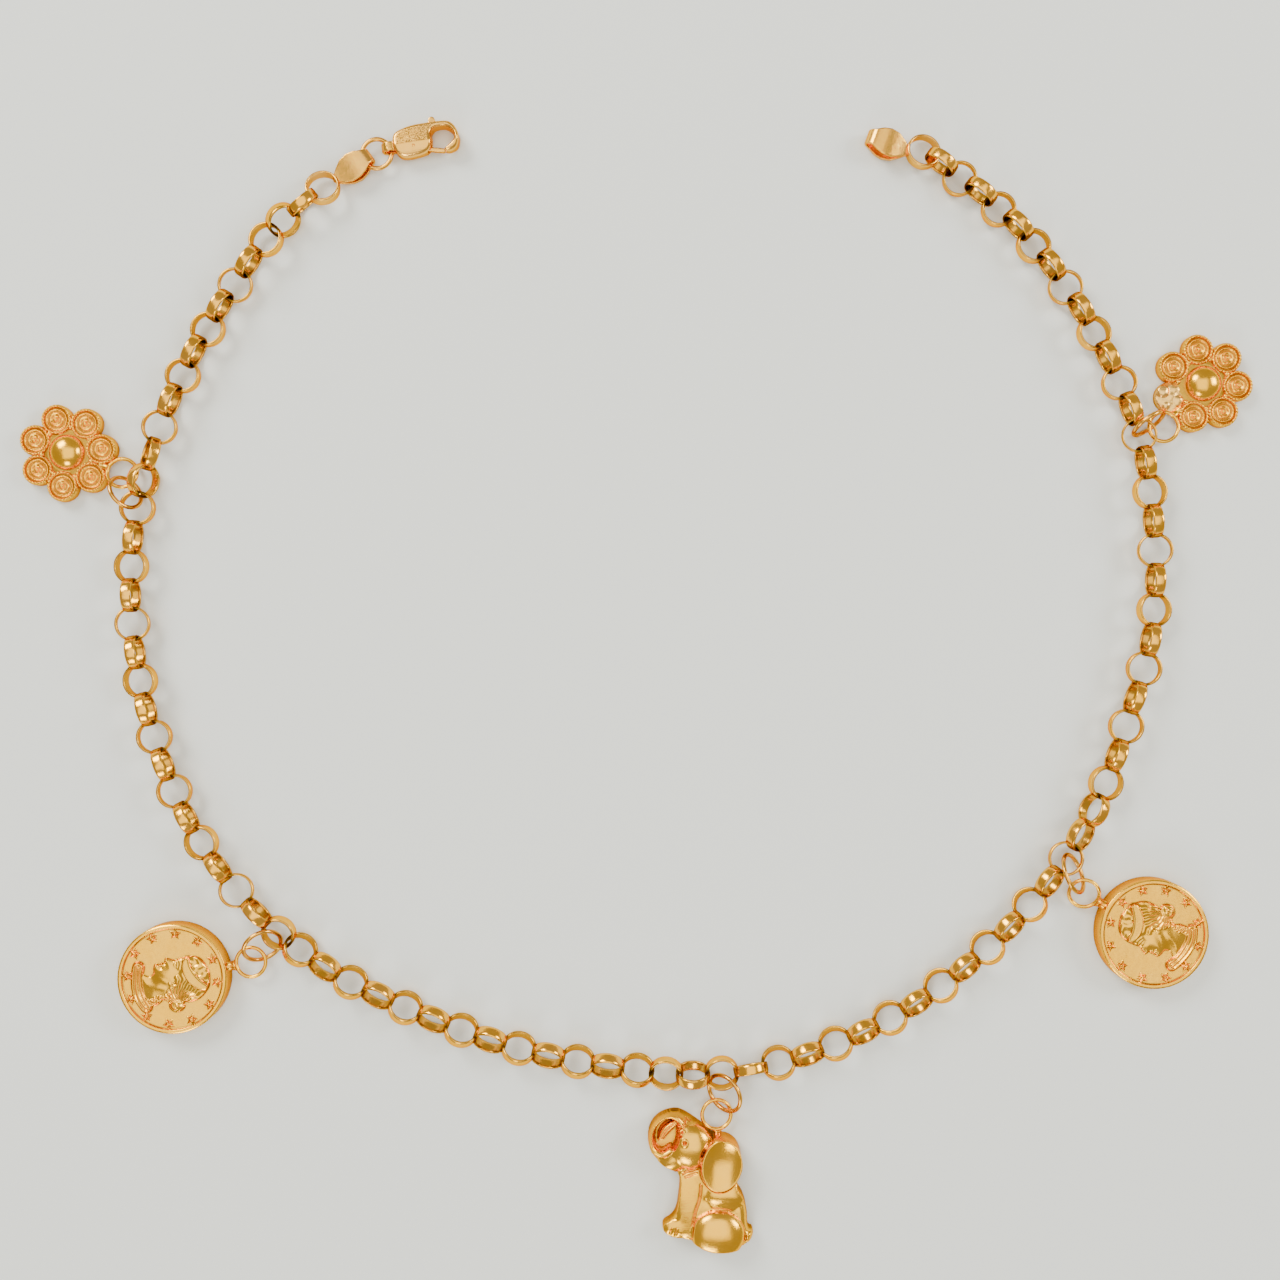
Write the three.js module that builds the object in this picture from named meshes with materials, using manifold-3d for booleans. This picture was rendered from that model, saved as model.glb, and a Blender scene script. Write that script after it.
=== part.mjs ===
// Charm anklet, in millimetres: a belcher chain laid open on a table, five cast charms on jump rings,
// a lobster clasp on one end tag and a plain catch tag on the other. +Z is up, away from the table.
import * as THREE from 'three';
import { mergeVertices } from 'three/addons/utils/BufferGeometryUtils.js';
import Module from 'manifold-3d';

const wasm = await Module();
wasm.setup();

// Chain link: a ring of domed band
const LINK_COUNT = 90;
const LINK_INNER = 1.37;
const LINK_WALL = 0.2;
const LINK_WIDTH = 0.85;
const LINK_SIDES = 10;
const LINK_SHOULDER = 0.55;
const LINK_BITE = 0.05;
const PIECE_GAP = 0.25;
const MIDDLE_LINK = 45;

// Soldered and open rings of round wire
const WIRE_SIDES = 10;
const JUMP_WIRE = 0.42;
const CHARM_RING_OUTER = 3.1;
const CHARM_RING_WIRE = 0.38;
const CLASP_RING_OUTER = 3.15;
const CLASP_RING_WIRE = 0.44;

// End tags: a leaf of sheet folded back on itself and soldered at its tip
const TAG_LENGTH = 3.95;
const TAG_WIDTH = 2.5;
const TAG_SHEET = 0.25;
const FOLD_NARROWING = 0.9;
const TAG_LOOP = 0.5;
const CATCH_LOOP = 0.7;

// Lobster clasp
const CLASP_LENGTH = 6.5;
const CLASP_WIDTH = 2.95;
const CLASP_THICK = 1.9;
const SEAT_HEIGHT = CLASP_THICK / 2;
const CLASP_BEVEL = 0.28;
const TAIL_HOLE = 0.5;
const TAIL_WALL = 0.26;
const TAIL_WIDTH = 0.85;
const LEVER_THICK = 0.55;
const LEVER_ARM = 0.38;
const LEVER_EYE = 0.5;
const LEVER_KNOB = 0.33;
const LEVER_CLEARANCE = 0.1;
const LEVER_TRAVEL = 20;
const RIVET_RADIUS = 0.2;
const RIVET_CLEARANCE = 0.06;
const SEAT_CLEARANCE = 0.23;

// Coin charms
const COIN_DIAMETER = 10.1;
const COIN_THICK = 2.0;
const COIN_RIM = 0.38;
const COIN_SUNK = 0.2;
const COIN_SIDES = 20;
const COIN_POST = 0.75;
const COIN_POST_DEPTH = 0.3;
const STAR_COUNT = 12;
const STAR_RADIUS = 0.44;
const STAR_RING = 4.3;
const STAR_RISE = 0.2;
const HEAD_HEIGHT = 5.6;
const HEAD_RISE = 0.42;

// Flower charms: seven rosettes round a dome
const ROSETTE_COUNT = 7;
const ROSETTE_RING = 3.24;
const ROSETTE_RADIUS = 1.48;
const ROSETTE_THICK = 1.25;
const ROSETTE_SIDES = 8;
const DOME_RADIUS = 1.75;
const DOME_HEIGHT = 2.0;
const DOME_SIDES = 12;
const FLOWER_PLATE = 0.55;
const FLOWER_RING_SHARE = 0.75;
const FLOWER_RING_HEIGHT = 0.65;

// Seated elephant charm
const ELEPHANT_HEIGHT = 12.2;
const ELEPHANT_THICK = 3.0;
const BLOB_SIDES = 8;
const BLOB_ROWS = 5;

// Route of the chain's middle line on the table, from the clasp's end to the catch's end, chosen by hand
const ROUTE = [
  [-29.2, 41.6], [-33.6, 37.7], [-37.1, 32.9], [-40.4, 27.5], [-43.2, 21.8], [-45.3, 15.8], [-46.5, 9.5],
  [-46.7, 2.9], [-45.9, -3.7], [-44.2, -10.1], [-41.6, -16.3], [-38.0, -21.8], [-33.4, -26.7],
  [-27.9, -30.7], [-21.7, -33.7], [-15.4, -36.2], [-8.8, -38.1], [-1.9, -39.3], [5.0, -39.9], [12.1, -39.0],
  [18.7, -36.8], [24.8, -33.7], [30.4, -29.6], [35.5, -24.7], [39.7, -19.2], [42.8, -13.0], [45.0, -6.6],
  [46.8, -0.2], [47.3, 6.3], [46.9, 12.9], [45.7, 19.3], [43.4, 25.0], [40.4, 30.5], [36.9, 35.5],
  [32.8, 39.9], [26.1, 45.0],
];

// How near each link lies to the next, as a share of the stretched pitch
const SLACK = [
  { link: 1, share: 0.97 }, { link: 4, share: 0.96 }, { link: 6, share: 0.86 }, { link: 10, share: 0.88 },
  { link: 12, share: 1.0 }, { link: 15, share: 1.0 }, { link: 17, share: 0.95 }, { link: 27, share: 0.965 },
  { link: 29, share: 1.0 }, { link: 65, share: 1.0 }, { link: 67, share: 1.0 }, { link: 75, share: 0.97 },
  { link: 81, share: 0.9 }, { link: 85, share: 0.84 }, { link: 90, share: 0.8 },
];

// Roll of the links about the chain, in degrees: 0 lies flat, 90 stands on its edge
const ROLL = [
  { link: 1, roll: 0 }, { link: 2, roll: 75 }, { link: 4, roll: 180 }, { link: 12, roll: 900 },
  { link: 15, roll: 1080 },
  { link: 29, roll: 2340 }, { link: 30, roll: 2430 }, { link: 31, roll: 2529 }, { link: 32, roll: 2655 },
  { link: 44, roll: 3735 }, { link: 45, roll: 3805 }, { link: 46, roll: 3890 }, { link: 47, roll: 3960 },
  { link: 48, roll: 4035 }, { link: 49, roll: 4100 }, { link: 60, roll: 5090 }, { link: 61, roll: 5205 },
  { link: 62, roll: 5265 }, { link: 63, roll: 5330 }, { link: 64, roll: 5400 }, { link: 75, roll: 6390 },
  { link: 76, roll: 6463 }, { link: 77, roll: 6570 }, { link: 90, roll: 7740 },
];

// The five charms along the chain. Each jump ring passes through its link and the ring soldered to the
// charm: side, how far out and which way it lies are shares of the taut reach and angles on the table
const CHARMS = [
  { name: 'flower_left', kind: 'flower', link: 15, outer: 3.6, side: 128, out: 0.66, along: 122, lean: 58,
    ringSide: 107, ringOut: 0.72, ringLean: 11, bodySide: 159.4 },
  { name: 'coin_left', kind: 'coin', link: 31, outer: 3.9, side: 218, out: 0.67, along: 40, lean: 45,
    ringSide: 234, ringOut: 0.69, ringLean: 1, bodySide: 191 },
  { name: 'elephant', kind: 'elephant', link: 47, outer: 4.0, side: -82, out: 0.65, along: -69, lean: 43,
    ringSide: -108, ringOut: 0.78, ringLean: -7, bodySide: -87 },
  { name: 'coin_right', kind: 'coin', link: 61, outer: 4.0, side: -65, out: 0.5, along: -64, lean: -56,
    ringSide: -59, ringOut: 0.78, ringLean: 19, bodySide: -30.3 },
  { name: 'flower_right', kind: 'flower', link: 76, outer: 3.6, side: 53, out: 0.48, along: 211, lean: -69,
    ringSide: -6, ringOut: 0.63, ringLean: 0, bodySide: 47.7 },
];

// Finishes
const chainGold = new THREE.MeshStandardMaterial({ color: 0xd9a566, metalness: 1, roughness: 0.22 });
const ringGold = new THREE.MeshStandardMaterial({ color: 0xc9965a, metalness: 1, roughness: 0.25 });
const charmGold = new THREE.MeshStandardMaterial({ color: 0xf0bf6a, metalness: 1, roughness: 0.25 });
const claspGold = new THREE.MeshStandardMaterial({ color: 0xdeb277, metalness: 1, roughness: 0.25 });

const UP = new THREE.Vector3(0, 0, 1);

function heading(degrees) {
  const angle = THREE.MathUtils.degToRad(degrees);
  return new THREE.Vector3(Math.cos(angle), Math.sin(angle), 0);
}

// A closed geometry as a solid that can be joined and cut
function solidOf(geometry) {
  const bare = geometry.clone();
  bare.deleteAttribute('normal');
  bare.deleteAttribute('uv');
  const merged = mergeVertices(bare, 1e-5);
  const kept = [];
  for (let i = 0; i < merged.index.count; i += 3) {
    const corners = [merged.index.getX(i), merged.index.getX(i + 1), merged.index.getX(i + 2)];
    if (new Set(corners).size === 3) {
      kept.push(...corners);
    }
  }
  const vertProperties = Float32Array.from(merged.attributes.position.array);
  return new wasm.Manifold(new wasm.Mesh({ numProp: 3, vertProperties, triVerts: Uint32Array.from(kept) }));
}

function joined(solids) {
  return solids.reduce((whole, solid) => whole.add(solid));
}

function meshOf(name, solid, material) {
  const { vertProperties, triVerts } = solid.getMesh();
  const geometry = new THREE.BufferGeometry();
  geometry.setAttribute('position', new THREE.BufferAttribute(Float32Array.from(vertProperties), 3));
  geometry.setIndex(new THREE.BufferAttribute(Uint32Array.from(triVerts), 1));
  geometry.computeVertexNormals();
  const mesh = new THREE.Mesh(geometry, material);
  mesh.name = name;
  return mesh;
}

// Puts a geometry whose own X, Y, Z axes become the three given ones at a place
function placed(geometry, origin, xAxis, yAxis, zAxis) {
  const matrix = new THREE.Matrix4().makeBasis(xAxis, yAxis, zAxis).setPosition(origin);
  return geometry.clone().applyMatrix4(matrix);
}

// A table's value at a link, in straight lines between its rows
function tableAt(rows, column, link) {
  const after = rows.findIndex((row) => row.link >= link);
  if (after <= 0) {
    return rows[0][column];
  }
  const [low, high] = [rows[after - 1], rows[after]];
  return THREE.MathUtils.mapLinear(link, low.link, high.link, low[column], high[column]);
}

// A band ring about Y from its section's corners, each a radius and a place along the axis
function bandRing(section, sides) {
  const outline = section.map(([radius, along]) => new THREE.Vector2(radius, along));
  return new THREE.LatheGeometry([...outline, outline[0].clone()], sides);
}

function wireRing(outer, wire, sides = WIRE_SIDES, corners = 5) {
  const middle = (outer - wire) / 2;
  const section = [];
  for (let i = 0; i < corners; i += 1) {
    const angle = (2 * Math.PI * i) / corners;
    section.push([middle + (wire / 2) * Math.cos(angle), (wire / 2) * Math.sin(angle)]);
  }
  return bandRing(section, sides);
}

// Chain link: its flats face along the chain, so touching links meet face to face
const CORNER_STRETCH = 1 / Math.cos(Math.PI / LINK_SIDES);
const LINK_SECTION = [
  [LINK_INNER * CORNER_STRETCH, LINK_WIDTH / 2],
  [LINK_INNER * CORNER_STRETCH, -LINK_WIDTH / 2],
  [(LINK_INNER + LINK_SHOULDER * LINK_WALL) * CORNER_STRETCH, -LINK_WIDTH / 2],
  [(LINK_INNER + LINK_WALL) * CORNER_STRETCH, 0],
  [(LINK_INNER + LINK_SHOULDER * LINK_WALL) * CORNER_STRETCH, LINK_WIDTH / 2],
];
const linkShape = bandRing(LINK_SECTION, LINK_SIDES);

// Height of a rolled link's middle when its lowest corner is on the table
function standingHeight(roll) {
  const angle = THREE.MathUtils.degToRad(roll);
  const reach = ([radius, along]) => radius * Math.abs(Math.sin(angle)) + Math.abs(along * Math.cos(angle));
  return Math.max(...LINK_SECTION.map(reach));
}

// Half of the width that a link fills inside its neighbour, when one is rolled against the other
function halfFill(roll) {
  const turned = THREE.MathUtils.degToRad(Math.min(roll % 180, 180 - (roll % 180)));
  return LINK_WIDTH / 2 / Math.tan(turned / 2);
}

// The longest pitch of two such links: the reach of each link's inner flats at that width
function stretchedPitch(roll) {
  let reach = LINK_INNER;
  for (let i = 1; i < LINK_SIDES / 4; i += 1) {
    const angle = (2 * Math.PI * i) / LINK_SIDES;
    reach = Math.min(reach, (LINK_INNER - halfFill(roll) * Math.sin(angle)) / Math.cos(angle));
  }
  return LINK_INNER + reach + LINK_BITE;
}

// How far a flat link hangs below the middle of the upright one that it rests in
function sagAt(pitch, roll) {
  if (pitch >= stretchedPitch(roll)) {
    return 0;
  }
  const inside = pitch - LINK_INNER;
  let lowest = Infinity;
  for (let i = 1; i <= LINK_SIDES / 4 + 1; i += 1) {
    const angle = (2 * Math.PI * i) / LINK_SIDES;
    lowest = Math.min(lowest, (LINK_INNER - inside * Math.cos(angle)) / Math.sin(angle));
  }
  return lowest - halfFill(roll) + LINK_BITE;
}

// The places, directions and rolls of all links
function layLinks() {
  const rests = [];
  const pitches = [];
  const rollOf = (link) => tableAt(ROLL, 'roll', link);
  for (let link = 1; link < LINK_COUNT; link += 1) {
    const betweenPieces = link === 1 || link === LINK_COUNT - 1 || link === MIDDLE_LINK;
    const between = rollOf(link + 1) - rollOf(link);
    rests.push(stretchedPitch(between) * tableAt(SLACK, 'share', link + 0.5));
    pitches.push(rests.at(-1) - (betweenPieces ? LINK_BITE + PIECE_GAP : 0));
  }
  const total = pitches.reduce((sum, pitch) => sum + pitch, 0);
  const route = new THREE.SplineCurve(ROUTE.map(([x, y]) => new THREE.Vector2(x, y)));
  route.arcLengthDivisions = 2000;
  const stretch = total / route.getLength();
  const links = [];
  let along = 0;
  for (let i = 0; i < LINK_COUNT; i += 1) {
    const point = route.getPointAt(along / total).multiplyScalar(stretch);
    const tangent = route.getTangentAt(along / total);
    const roll = rollOf(i + 1);
    links.push({ place: new THREE.Vector3(point.x, point.y, standingHeight(roll)), roll, tangent });
    along += pitches[i] ?? 0;
  }
  const isFlat = (link) => Math.abs(Math.sin(THREE.MathUtils.degToRad(link.roll))) < 0.5;
  links.forEach((link, i) => {
    let slope = 0;
    if (isFlat(link)) {
      const before = links[i - 1];
      const after = links[i + 1];
      const low = before ? before.place.z - sagAt(rests[i - 1], link.roll - before.roll) : SEAT_HEIGHT;
      const high = after ? after.place.z - sagAt(rests[i], after.roll - link.roll) : SEAT_HEIGHT;
      link.place.z = (low + high) / 2;
      slope = (high - low) / (2 * LINK_INNER);
    }
    link.ahead = new THREE.Vector3(link.tangent.x, link.tangent.y, slope).normalize();
    const level = new THREE.Vector3().crossVectors(UP, link.ahead).normalize();
    link.axis = new THREE.Vector3().crossVectors(link.ahead, level)
      .applyAxisAngle(link.ahead, THREE.MathUtils.degToRad(link.roll));
  });
  return links;
}

const LINKS = layLinks();

function linkSolid(link) {
  const across = new THREE.Vector3().crossVectors(link.ahead, link.axis);
  return solidOf(placed(linkShape, link.place, link.ahead, link.axis, across));
}

function chainSolid(first, last) {
  return joined(LINKS.slice(first - 1, last).map(linkSolid));
}

// End tag: half-width of the leaf along its length, as shares of the tag's length and width
const LEAF = [
  { along: 0, width: 0.4 }, { along: 0.14, width: 0.68 }, { along: 0.32, width: 0.95 },
  { along: 0.5, width: 1.0 }, { along: 0.68, width: 0.86 }, { along: 0.85, width: 0.58 },
];
const FOLD_STEPS = 4;

// A strip of sheet that runs out along X, folds back round a loop and meets its own start at the tip
function tagShape(loop) {
  const bend = loop + TAG_SHEET / 2;
  const foldAt = TAG_LENGTH - loop - TAG_SHEET;
  const stations = [];
  for (const row of LEAF) {
    const spread = THREE.MathUtils.lerp(TAG_SHEET / 2, bend, row.along / LEAF.at(-1).along);
    stations.push({ x: (foldAt * row.along) / LEAF.at(-1).along, z: -spread, turn: 0, width: row.width });
  }
  for (let i = 1; i < FOLD_STEPS; i += 1) {
    const turn = (Math.PI * i) / FOLD_STEPS;
    const x = foldAt + bend * Math.sin(turn);
    stations.push({ x, z: -bend * Math.cos(turn), turn, width: LEAF.at(-1).width * FOLD_NARROWING });
  }
  for (const row of [...stations.slice(0, LEAF.length)].reverse()) {
    stations.push({ ...row, z: -row.z, turn: Math.PI });
  }
  const positions = [];
  for (const { x, z, turn, width } of stations) {
    for (const [side, face] of [[-1, -1], [1, -1], [1, 1], [-1, 1]]) {
      const out = (face * TAG_SHEET) / 2;
      positions.push(x + out * Math.sin(turn), (side * width * TAG_WIDTH) / 2, z - out * Math.cos(turn));
    }
  }
  const index = [];
  for (let i = 0; i < stations.length; i += 1) {
    for (let k = 0; k < 4; k += 1) {
      const a = 4 * i + k;
      const b = 4 * i + ((k + 1) % 4);
      const c = 4 * ((i + 1) % stations.length) + ((k + 1) % 4);
      const d = 4 * ((i + 1) % stations.length) + k;
      index.push(a, d, c, a, c, b);
    }
  }
  const geometry = new THREE.BufferGeometry();
  geometry.setAttribute('position', new THREE.Float32BufferAttribute(positions, 3));
  geometry.setIndex(index);
  return geometry;
}

// A tag soldered to an end link, running out on the table at an angle, and the seat of the ring in its fold
function tagOn(link, outAngle, tagAngle, loop) {
  const tip = link.place.clone().addScaledVector(heading(outAngle), LINK_INNER + LINK_WALL - LINK_BITE);
  tip.z = SEAT_HEIGHT;
  const ahead = heading(tagAngle);
  const level = new THREE.Vector3().crossVectors(UP, ahead);
  const tag = solidOf(placed(tagShape(loop), tip, ahead, level, UP));
  const foldWidth = LEAF.at(-1).width * TAG_WIDTH;
  const seat = tip.clone().addScaledVector(
    ahead, TAG_LENGTH - TAG_SHEET - CLASP_RING_WIRE / 2 - SEAT_CLEARANCE - arcRise(foldWidth, CLASP_RING_OUTER),
  );
  return { solid: tag.add(linkSolid(link)), seat };
}

// How far a ring's outer edge curves away over a width
function arcRise(width, outer) {
  return outer / 2 - Math.sqrt((outer / 2) ** 2 - (width / 2) ** 2);
}

// Rings whose plane lies on the table or leans about a line on it
function leaningRing(outer, wire, centre, alongAngle, lean) {
  const along = heading(alongAngle);
  const axis = UP.clone().applyAxisAngle(along, THREE.MathUtils.degToRad(lean));
  const across = new THREE.Vector3().crossVectors(along, axis);
  return solidOf(placed(wireRing(outer, wire), centre, along, axis, across));
}

// Clasp outline as shares of its length and width, from its tail round the hook and back
const CLASP_OUTLINE = [
  { along: 0.09, across: -0.15 }, { along: 0.17, across: -0.42 }, { along: 0.36, across: -0.43 },
  { along: 0.52, across: -0.36 }, { along: 0.59, across: -0.2 }, { along: 0.62, across: 0.23 },
  { along: 0.69, across: 0.36 }, { along: 0.83, across: 0.345 }, { along: 0.93, across: 0.15 },
  { along: 0.93, across: -0.08 }, { along: 0.82, across: -0.24 }, { along: 0.77, across: -0.31 },
  { along: 0.78, across: -0.41 }, { along: 0.865, across: -0.43 }, { along: 0.955, across: -0.33 },
  { along: 1.0, across: -0.1 }, { along: 1.0, across: 0.13 }, { along: 0.945, across: 0.4 },
  { along: 0.845, across: 0.53 }, { along: 0.59, across: 0.56 }, { along: 0.3, across: 0.53 },
  { along: 0.09, across: 0.34 },
];
const RIVET = { along: 0.35, across: -0.12 };
const GATE_TIP = { along: 0.755, across: -0.35 };
const KNOB = { along: 0.65, across: 0.65 };

const claspPoint = ({ along, across }) => new THREE.Vector2(along * CLASP_LENGTH, across * CLASP_WIDTH);

// A plate of an outline, centred on the clasp's mid-plane
function plate(outline, thick, bevel = 0) {
  const options = bevel
    ? { depth: thick - 2 * bevel, bevelEnabled: true, bevelSize: bevel * 0.6, bevelOffset: -bevel * 0.6,
      bevelThickness: bevel, bevelSegments: 1 }
    : { depth: thick, bevelEnabled: false };
  return new THREE.ExtrudeGeometry(new THREE.Shape(outline), options).translate(0, 0, -options.depth / 2);
}

const ROUND_SIDES = 8;
const ROUND_STRETCH = 1 / Math.cos(Math.PI / ROUND_SIDES);
function roundOutline(radius, sides) {
  const outline = [];
  for (let i = 0; i < sides; i += 1) {
    const way = heading((360 * i) / sides);
    outline.push(new THREE.Vector2(way.x, way.y).multiplyScalar(radius));
  }
  return outline;
}

function roundPlate(centre, radius, thick) {
  return plate(roundOutline(radius, ROUND_SIDES), thick).translate(centre.x, centre.y, 0);
}

// A bar from one point to another with a square end, longer there by a given length
function barPlate(from, to, width, thick, longer) {
  const ahead = new THREE.Vector2().subVectors(to, from).normalize();
  const side = ahead.clone().rotateAround(new THREE.Vector2(), Math.PI / 2).multiplyScalar(width / 2);
  const end = to.clone().addScaledVector(ahead, longer);
  const corner = (point, sign) => point.clone().addScaledVector(side, sign);
  return plate([corner(from, -1), corner(end, -1), corner(end, 1), corner(from, 1)], thick);
}

// The lever: an eye on the rivet, a gate that closes the hook and a thumb knob, grown by a clearance
function leverSolid(grow) {
  const thick = LEVER_THICK + 2 * grow;
  const eye = claspPoint(RIVET);
  return joined([
    solidOf(roundPlate(eye, (LEVER_EYE + grow) * (grow ? ROUND_STRETCH : 1), thick)),
    solidOf(barPlate(eye, claspPoint(GATE_TIP), LEVER_ARM + 2 * grow, thick, grow)),
    solidOf(barPlate(eye, claspPoint(KNOB), LEVER_ARM + 2 * grow, thick, grow)),
    solidOf(roundPlate(claspPoint(KNOB), (LEVER_KNOB + grow) * (grow ? ROUND_STRETCH : 1), thick)),
  ]);
}

function rivetBar(radius) {
  return solidOf(roundPlate(claspPoint(RIVET), radius, CLASP_THICK - CLASP_BEVEL));
}

// The fan of positions that a point of the lever swings through, a little past shut and open
const FAN_STEPS = 3;
const FAN_MARGIN = 5;
function leverFan(point, longer, halfAngle) {
  const eye = claspPoint(RIVET);
  const arm = claspPoint(point).sub(eye);
  const reach = arm.length() + longer;
  const start = THREE.MathUtils.radToDeg(arm.angle()) - halfAngle;
  const sweep = LEVER_TRAVEL + FAN_MARGIN + halfAngle;
  const stretch = 1 / Math.cos(THREE.MathUtils.degToRad(sweep / FAN_STEPS / 2));
  const outline = [eye.clone()];
  for (let i = 0; i <= FAN_STEPS; i += 1) {
    const way = heading(start + (sweep * i) / FAN_STEPS);
    outline.push(new THREE.Vector2(way.x, way.y).multiplyScalar(reach * stretch).add(eye));
  }
  return solidOf(plate(outline, LEVER_THICK + 2 * LEVER_CLEARANCE));
}

// The slot that the lever swings in: its shut and open outlines and the fans between them
function leverSlot() {
  const eye = claspPoint(RIVET);
  const shut = leverSolid(LEVER_CLEARANCE);
  const open = shut.translate([-eye.x, -eye.y, 0]).rotate([0, 0, LEVER_TRAVEL]).translate([eye.x, eye.y, 0]);
  return joined([
    shut, open, leverFan(GATE_TIP, LEVER_CLEARANCE, 0), leverFan(KNOB, LEVER_KNOB + LEVER_CLEARANCE, FAN_MARGIN),
  ]);
}

function claspParts(tail, azimuth) {
  const tailRing = bandRing([
    [TAIL_HOLE, TAIL_WIDTH / 2], [TAIL_HOLE, -TAIL_WIDTH / 2],
    [TAIL_HOLE + TAIL_WALL, -TAIL_WIDTH / 2], [TAIL_HOLE + TAIL_WALL, TAIL_WIDTH / 2],
  ], WIRE_SIDES);
  const body = solidOf(plate(CLASP_OUTLINE.map(claspPoint), CLASP_THICK, CLASP_BEVEL))
    .subtract(leverSlot())
    .add(rivetBar(RIVET_RADIUS))
    .add(solidOf(tailRing));
  const lever = leverSolid(0).subtract(rivetBar(RIVET_RADIUS + RIVET_CLEARANCE));
  const onTable = (solid) => solid.rotate([0, 0, azimuth]).translate([tail.x, tail.y, tail.z]);
  return { body: onTable(body), lever: onTable(lever) };
}

// Coin: stars round its field and a plain head in a crown, raised from the field. The head's outline is a
// share of its height, looking towards -X with its crown towards +Y
const COIN_HEAD = [
  { x: 0.32, y: -0.48 }, { x: 0.34, y: -0.28 }, { x: 0.28, y: -0.16 }, { x: 0.42, y: -0.12 },
  { x: 0.46, y: 0.02 }, { x: 0.36, y: 0.1 }, { x: 0.36, y: 0.26 }, { x: 0.24, y: 0.42 }, { x: 0.04, y: 0.5 },
  { x: -0.12, y: 0.47 }, { x: -0.26, y: 0.42 }, { x: -0.29, y: 0.26 }, { x: -0.26, y: 0.14 },
  { x: -0.33, y: 0.0 }, { x: -0.26, y: -0.03 }, { x: -0.28, y: -0.11 }, { x: -0.24, y: -0.17 },
  { x: -0.25, y: -0.24 }, { x: -0.12, y: -0.26 }, { x: -0.1, y: -0.36 }, { x: -0.24, y: -0.46 },
];
const COIN_HAIR = [
  { x: 0.22, y: -0.16 }, { x: 0.32, y: 0.04 }, { x: 0.3, y: 0.22 }, { x: 0.2, y: 0.37 }, { x: -0.06, y: 0.43 },
  { x: -0.22, y: 0.34 }, { x: -0.2, y: 0.2 }, { x: -0.06, y: 0.12 }, { x: 0.02, y: -0.02 },
];
const STAR_POINTS = 5;
const STAR_WAIST = 0.5;
const HAIR_RISE = 1.35;

const COIN_SINK = 0.1;

// A raised field of an outline, its foot a little below the coin's field
function relief(outline, rise) {
  const points = outline.map(({ x, y }) => new THREE.Vector2(x * HEAD_HEIGHT, y * HEAD_HEIGHT));
  const options = { depth: rise + COIN_SINK, bevelEnabled: false };
  return solidOf(new THREE.ExtrudeGeometry(new THREE.Shape(points), options)
    .translate(0, 0, COIN_THICK - COIN_SUNK - COIN_SINK));
}

// A five-pointed star with a ridge down each point, its foot a little below the coin's field
function starSolid(turn) {
  const positions = [0, 0, STAR_RISE + COIN_SINK, 0, 0, 0];
  const index = [];
  const count = 2 * STAR_POINTS;
  for (let i = 0; i < count; i += 1) {
    const radius = i % 2 ? STAR_WAIST * STAR_RADIUS : STAR_RADIUS;
    const angle = (Math.PI * i) / STAR_POINTS;
    positions.push(radius * Math.cos(angle), radius * Math.sin(angle), 0);
    const [here, next] = [2 + i, 2 + ((i + 1) % count)];
    index.push(0, here, next, 1, next, here);
  }
  const star = new THREE.BufferGeometry();
  star.setAttribute('position', new THREE.Float32BufferAttribute(positions, 3));
  star.setIndex(index);
  return solidOf(star.translate(STAR_RING, 0, COIN_THICK - COIN_SUNK - COIN_SINK).rotateZ(turn));
}

function coinSolid() {
  const radius = COIN_DIAMETER / 2;
  const field = COIN_THICK - COIN_SUNK;
  const edge = COIN_SUNK / 2;
  const disc = new THREE.LatheGeometry([
    new THREE.Vector2(0, 0), new THREE.Vector2(radius, 0), new THREE.Vector2(radius, COIN_THICK - edge),
    new THREE.Vector2(radius - edge, COIN_THICK), new THREE.Vector2(radius - COIN_RIM, COIN_THICK),
    new THREE.Vector2(radius - COIN_RIM - edge, field), new THREE.Vector2(0, field),
  ], COIN_SIDES).rotateX(Math.PI / 2);
  const parts = [solidOf(disc)];
  for (let i = 0; i < STAR_COUNT; i += 1) {
    parts.push(starSolid((2 * Math.PI * (i + 0.5)) / STAR_COUNT));
  }
  parts.push(relief(COIN_HEAD, HEAD_RISE), relief(COIN_HAIR, HEAD_RISE * HAIR_RISE));
  return joined(parts);
}

// Rosette: a low boss with a raised ring and a raised middle, as shares of its radius and height
const ROSETTE_PROFILE = [
  { out: 0, up: 0 }, { out: 1.0, up: 0 }, { out: 1.0, up: 0.72 }, { out: 0.8, up: 1.0 }, { out: 0, up: 0.86 },
];

function flowerSolid() {
  const profile = ROSETTE_PROFILE.map(({ out, up }) => (
    new THREE.Vector2(out * ROSETTE_RADIUS, up * ROSETTE_THICK)));
  const rosette = new THREE.LatheGeometry(profile, ROSETTE_SIDES).rotateX(Math.PI / 2);
  const dome = [new THREE.Vector2(0, 0), new THREE.Vector2(DOME_RADIUS, 0)];
  const rise = [0.45, 0.85, 1];
  rise.forEach((up) => dome.push(new THREE.Vector2(DOME_RADIUS * Math.sqrt(1 - up * up), DOME_HEIGHT * up)));
  const plateDisc = new THREE.CylinderGeometry(ROSETTE_RING, ROSETTE_RING, FLOWER_PLATE, ROSETTE_COUNT)
    .rotateX(Math.PI / 2).translate(0, 0, FLOWER_PLATE / 2);
  const parts = [
    solidOf(plateDisc),
    solidOf(new THREE.LatheGeometry(dome, DOME_SIDES).rotateX(Math.PI / 2)),
  ];
  for (let i = 0; i < ROSETTE_COUNT; i += 1) {
    const turn = (2 * Math.PI * (i + 0.5)) / ROSETTE_COUNT;
    parts.push(solidOf(rosette.clone().translate(ROSETTE_RING, 0, 0).rotateZ(turn)));
  }
  return joined(parts);
}

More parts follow.
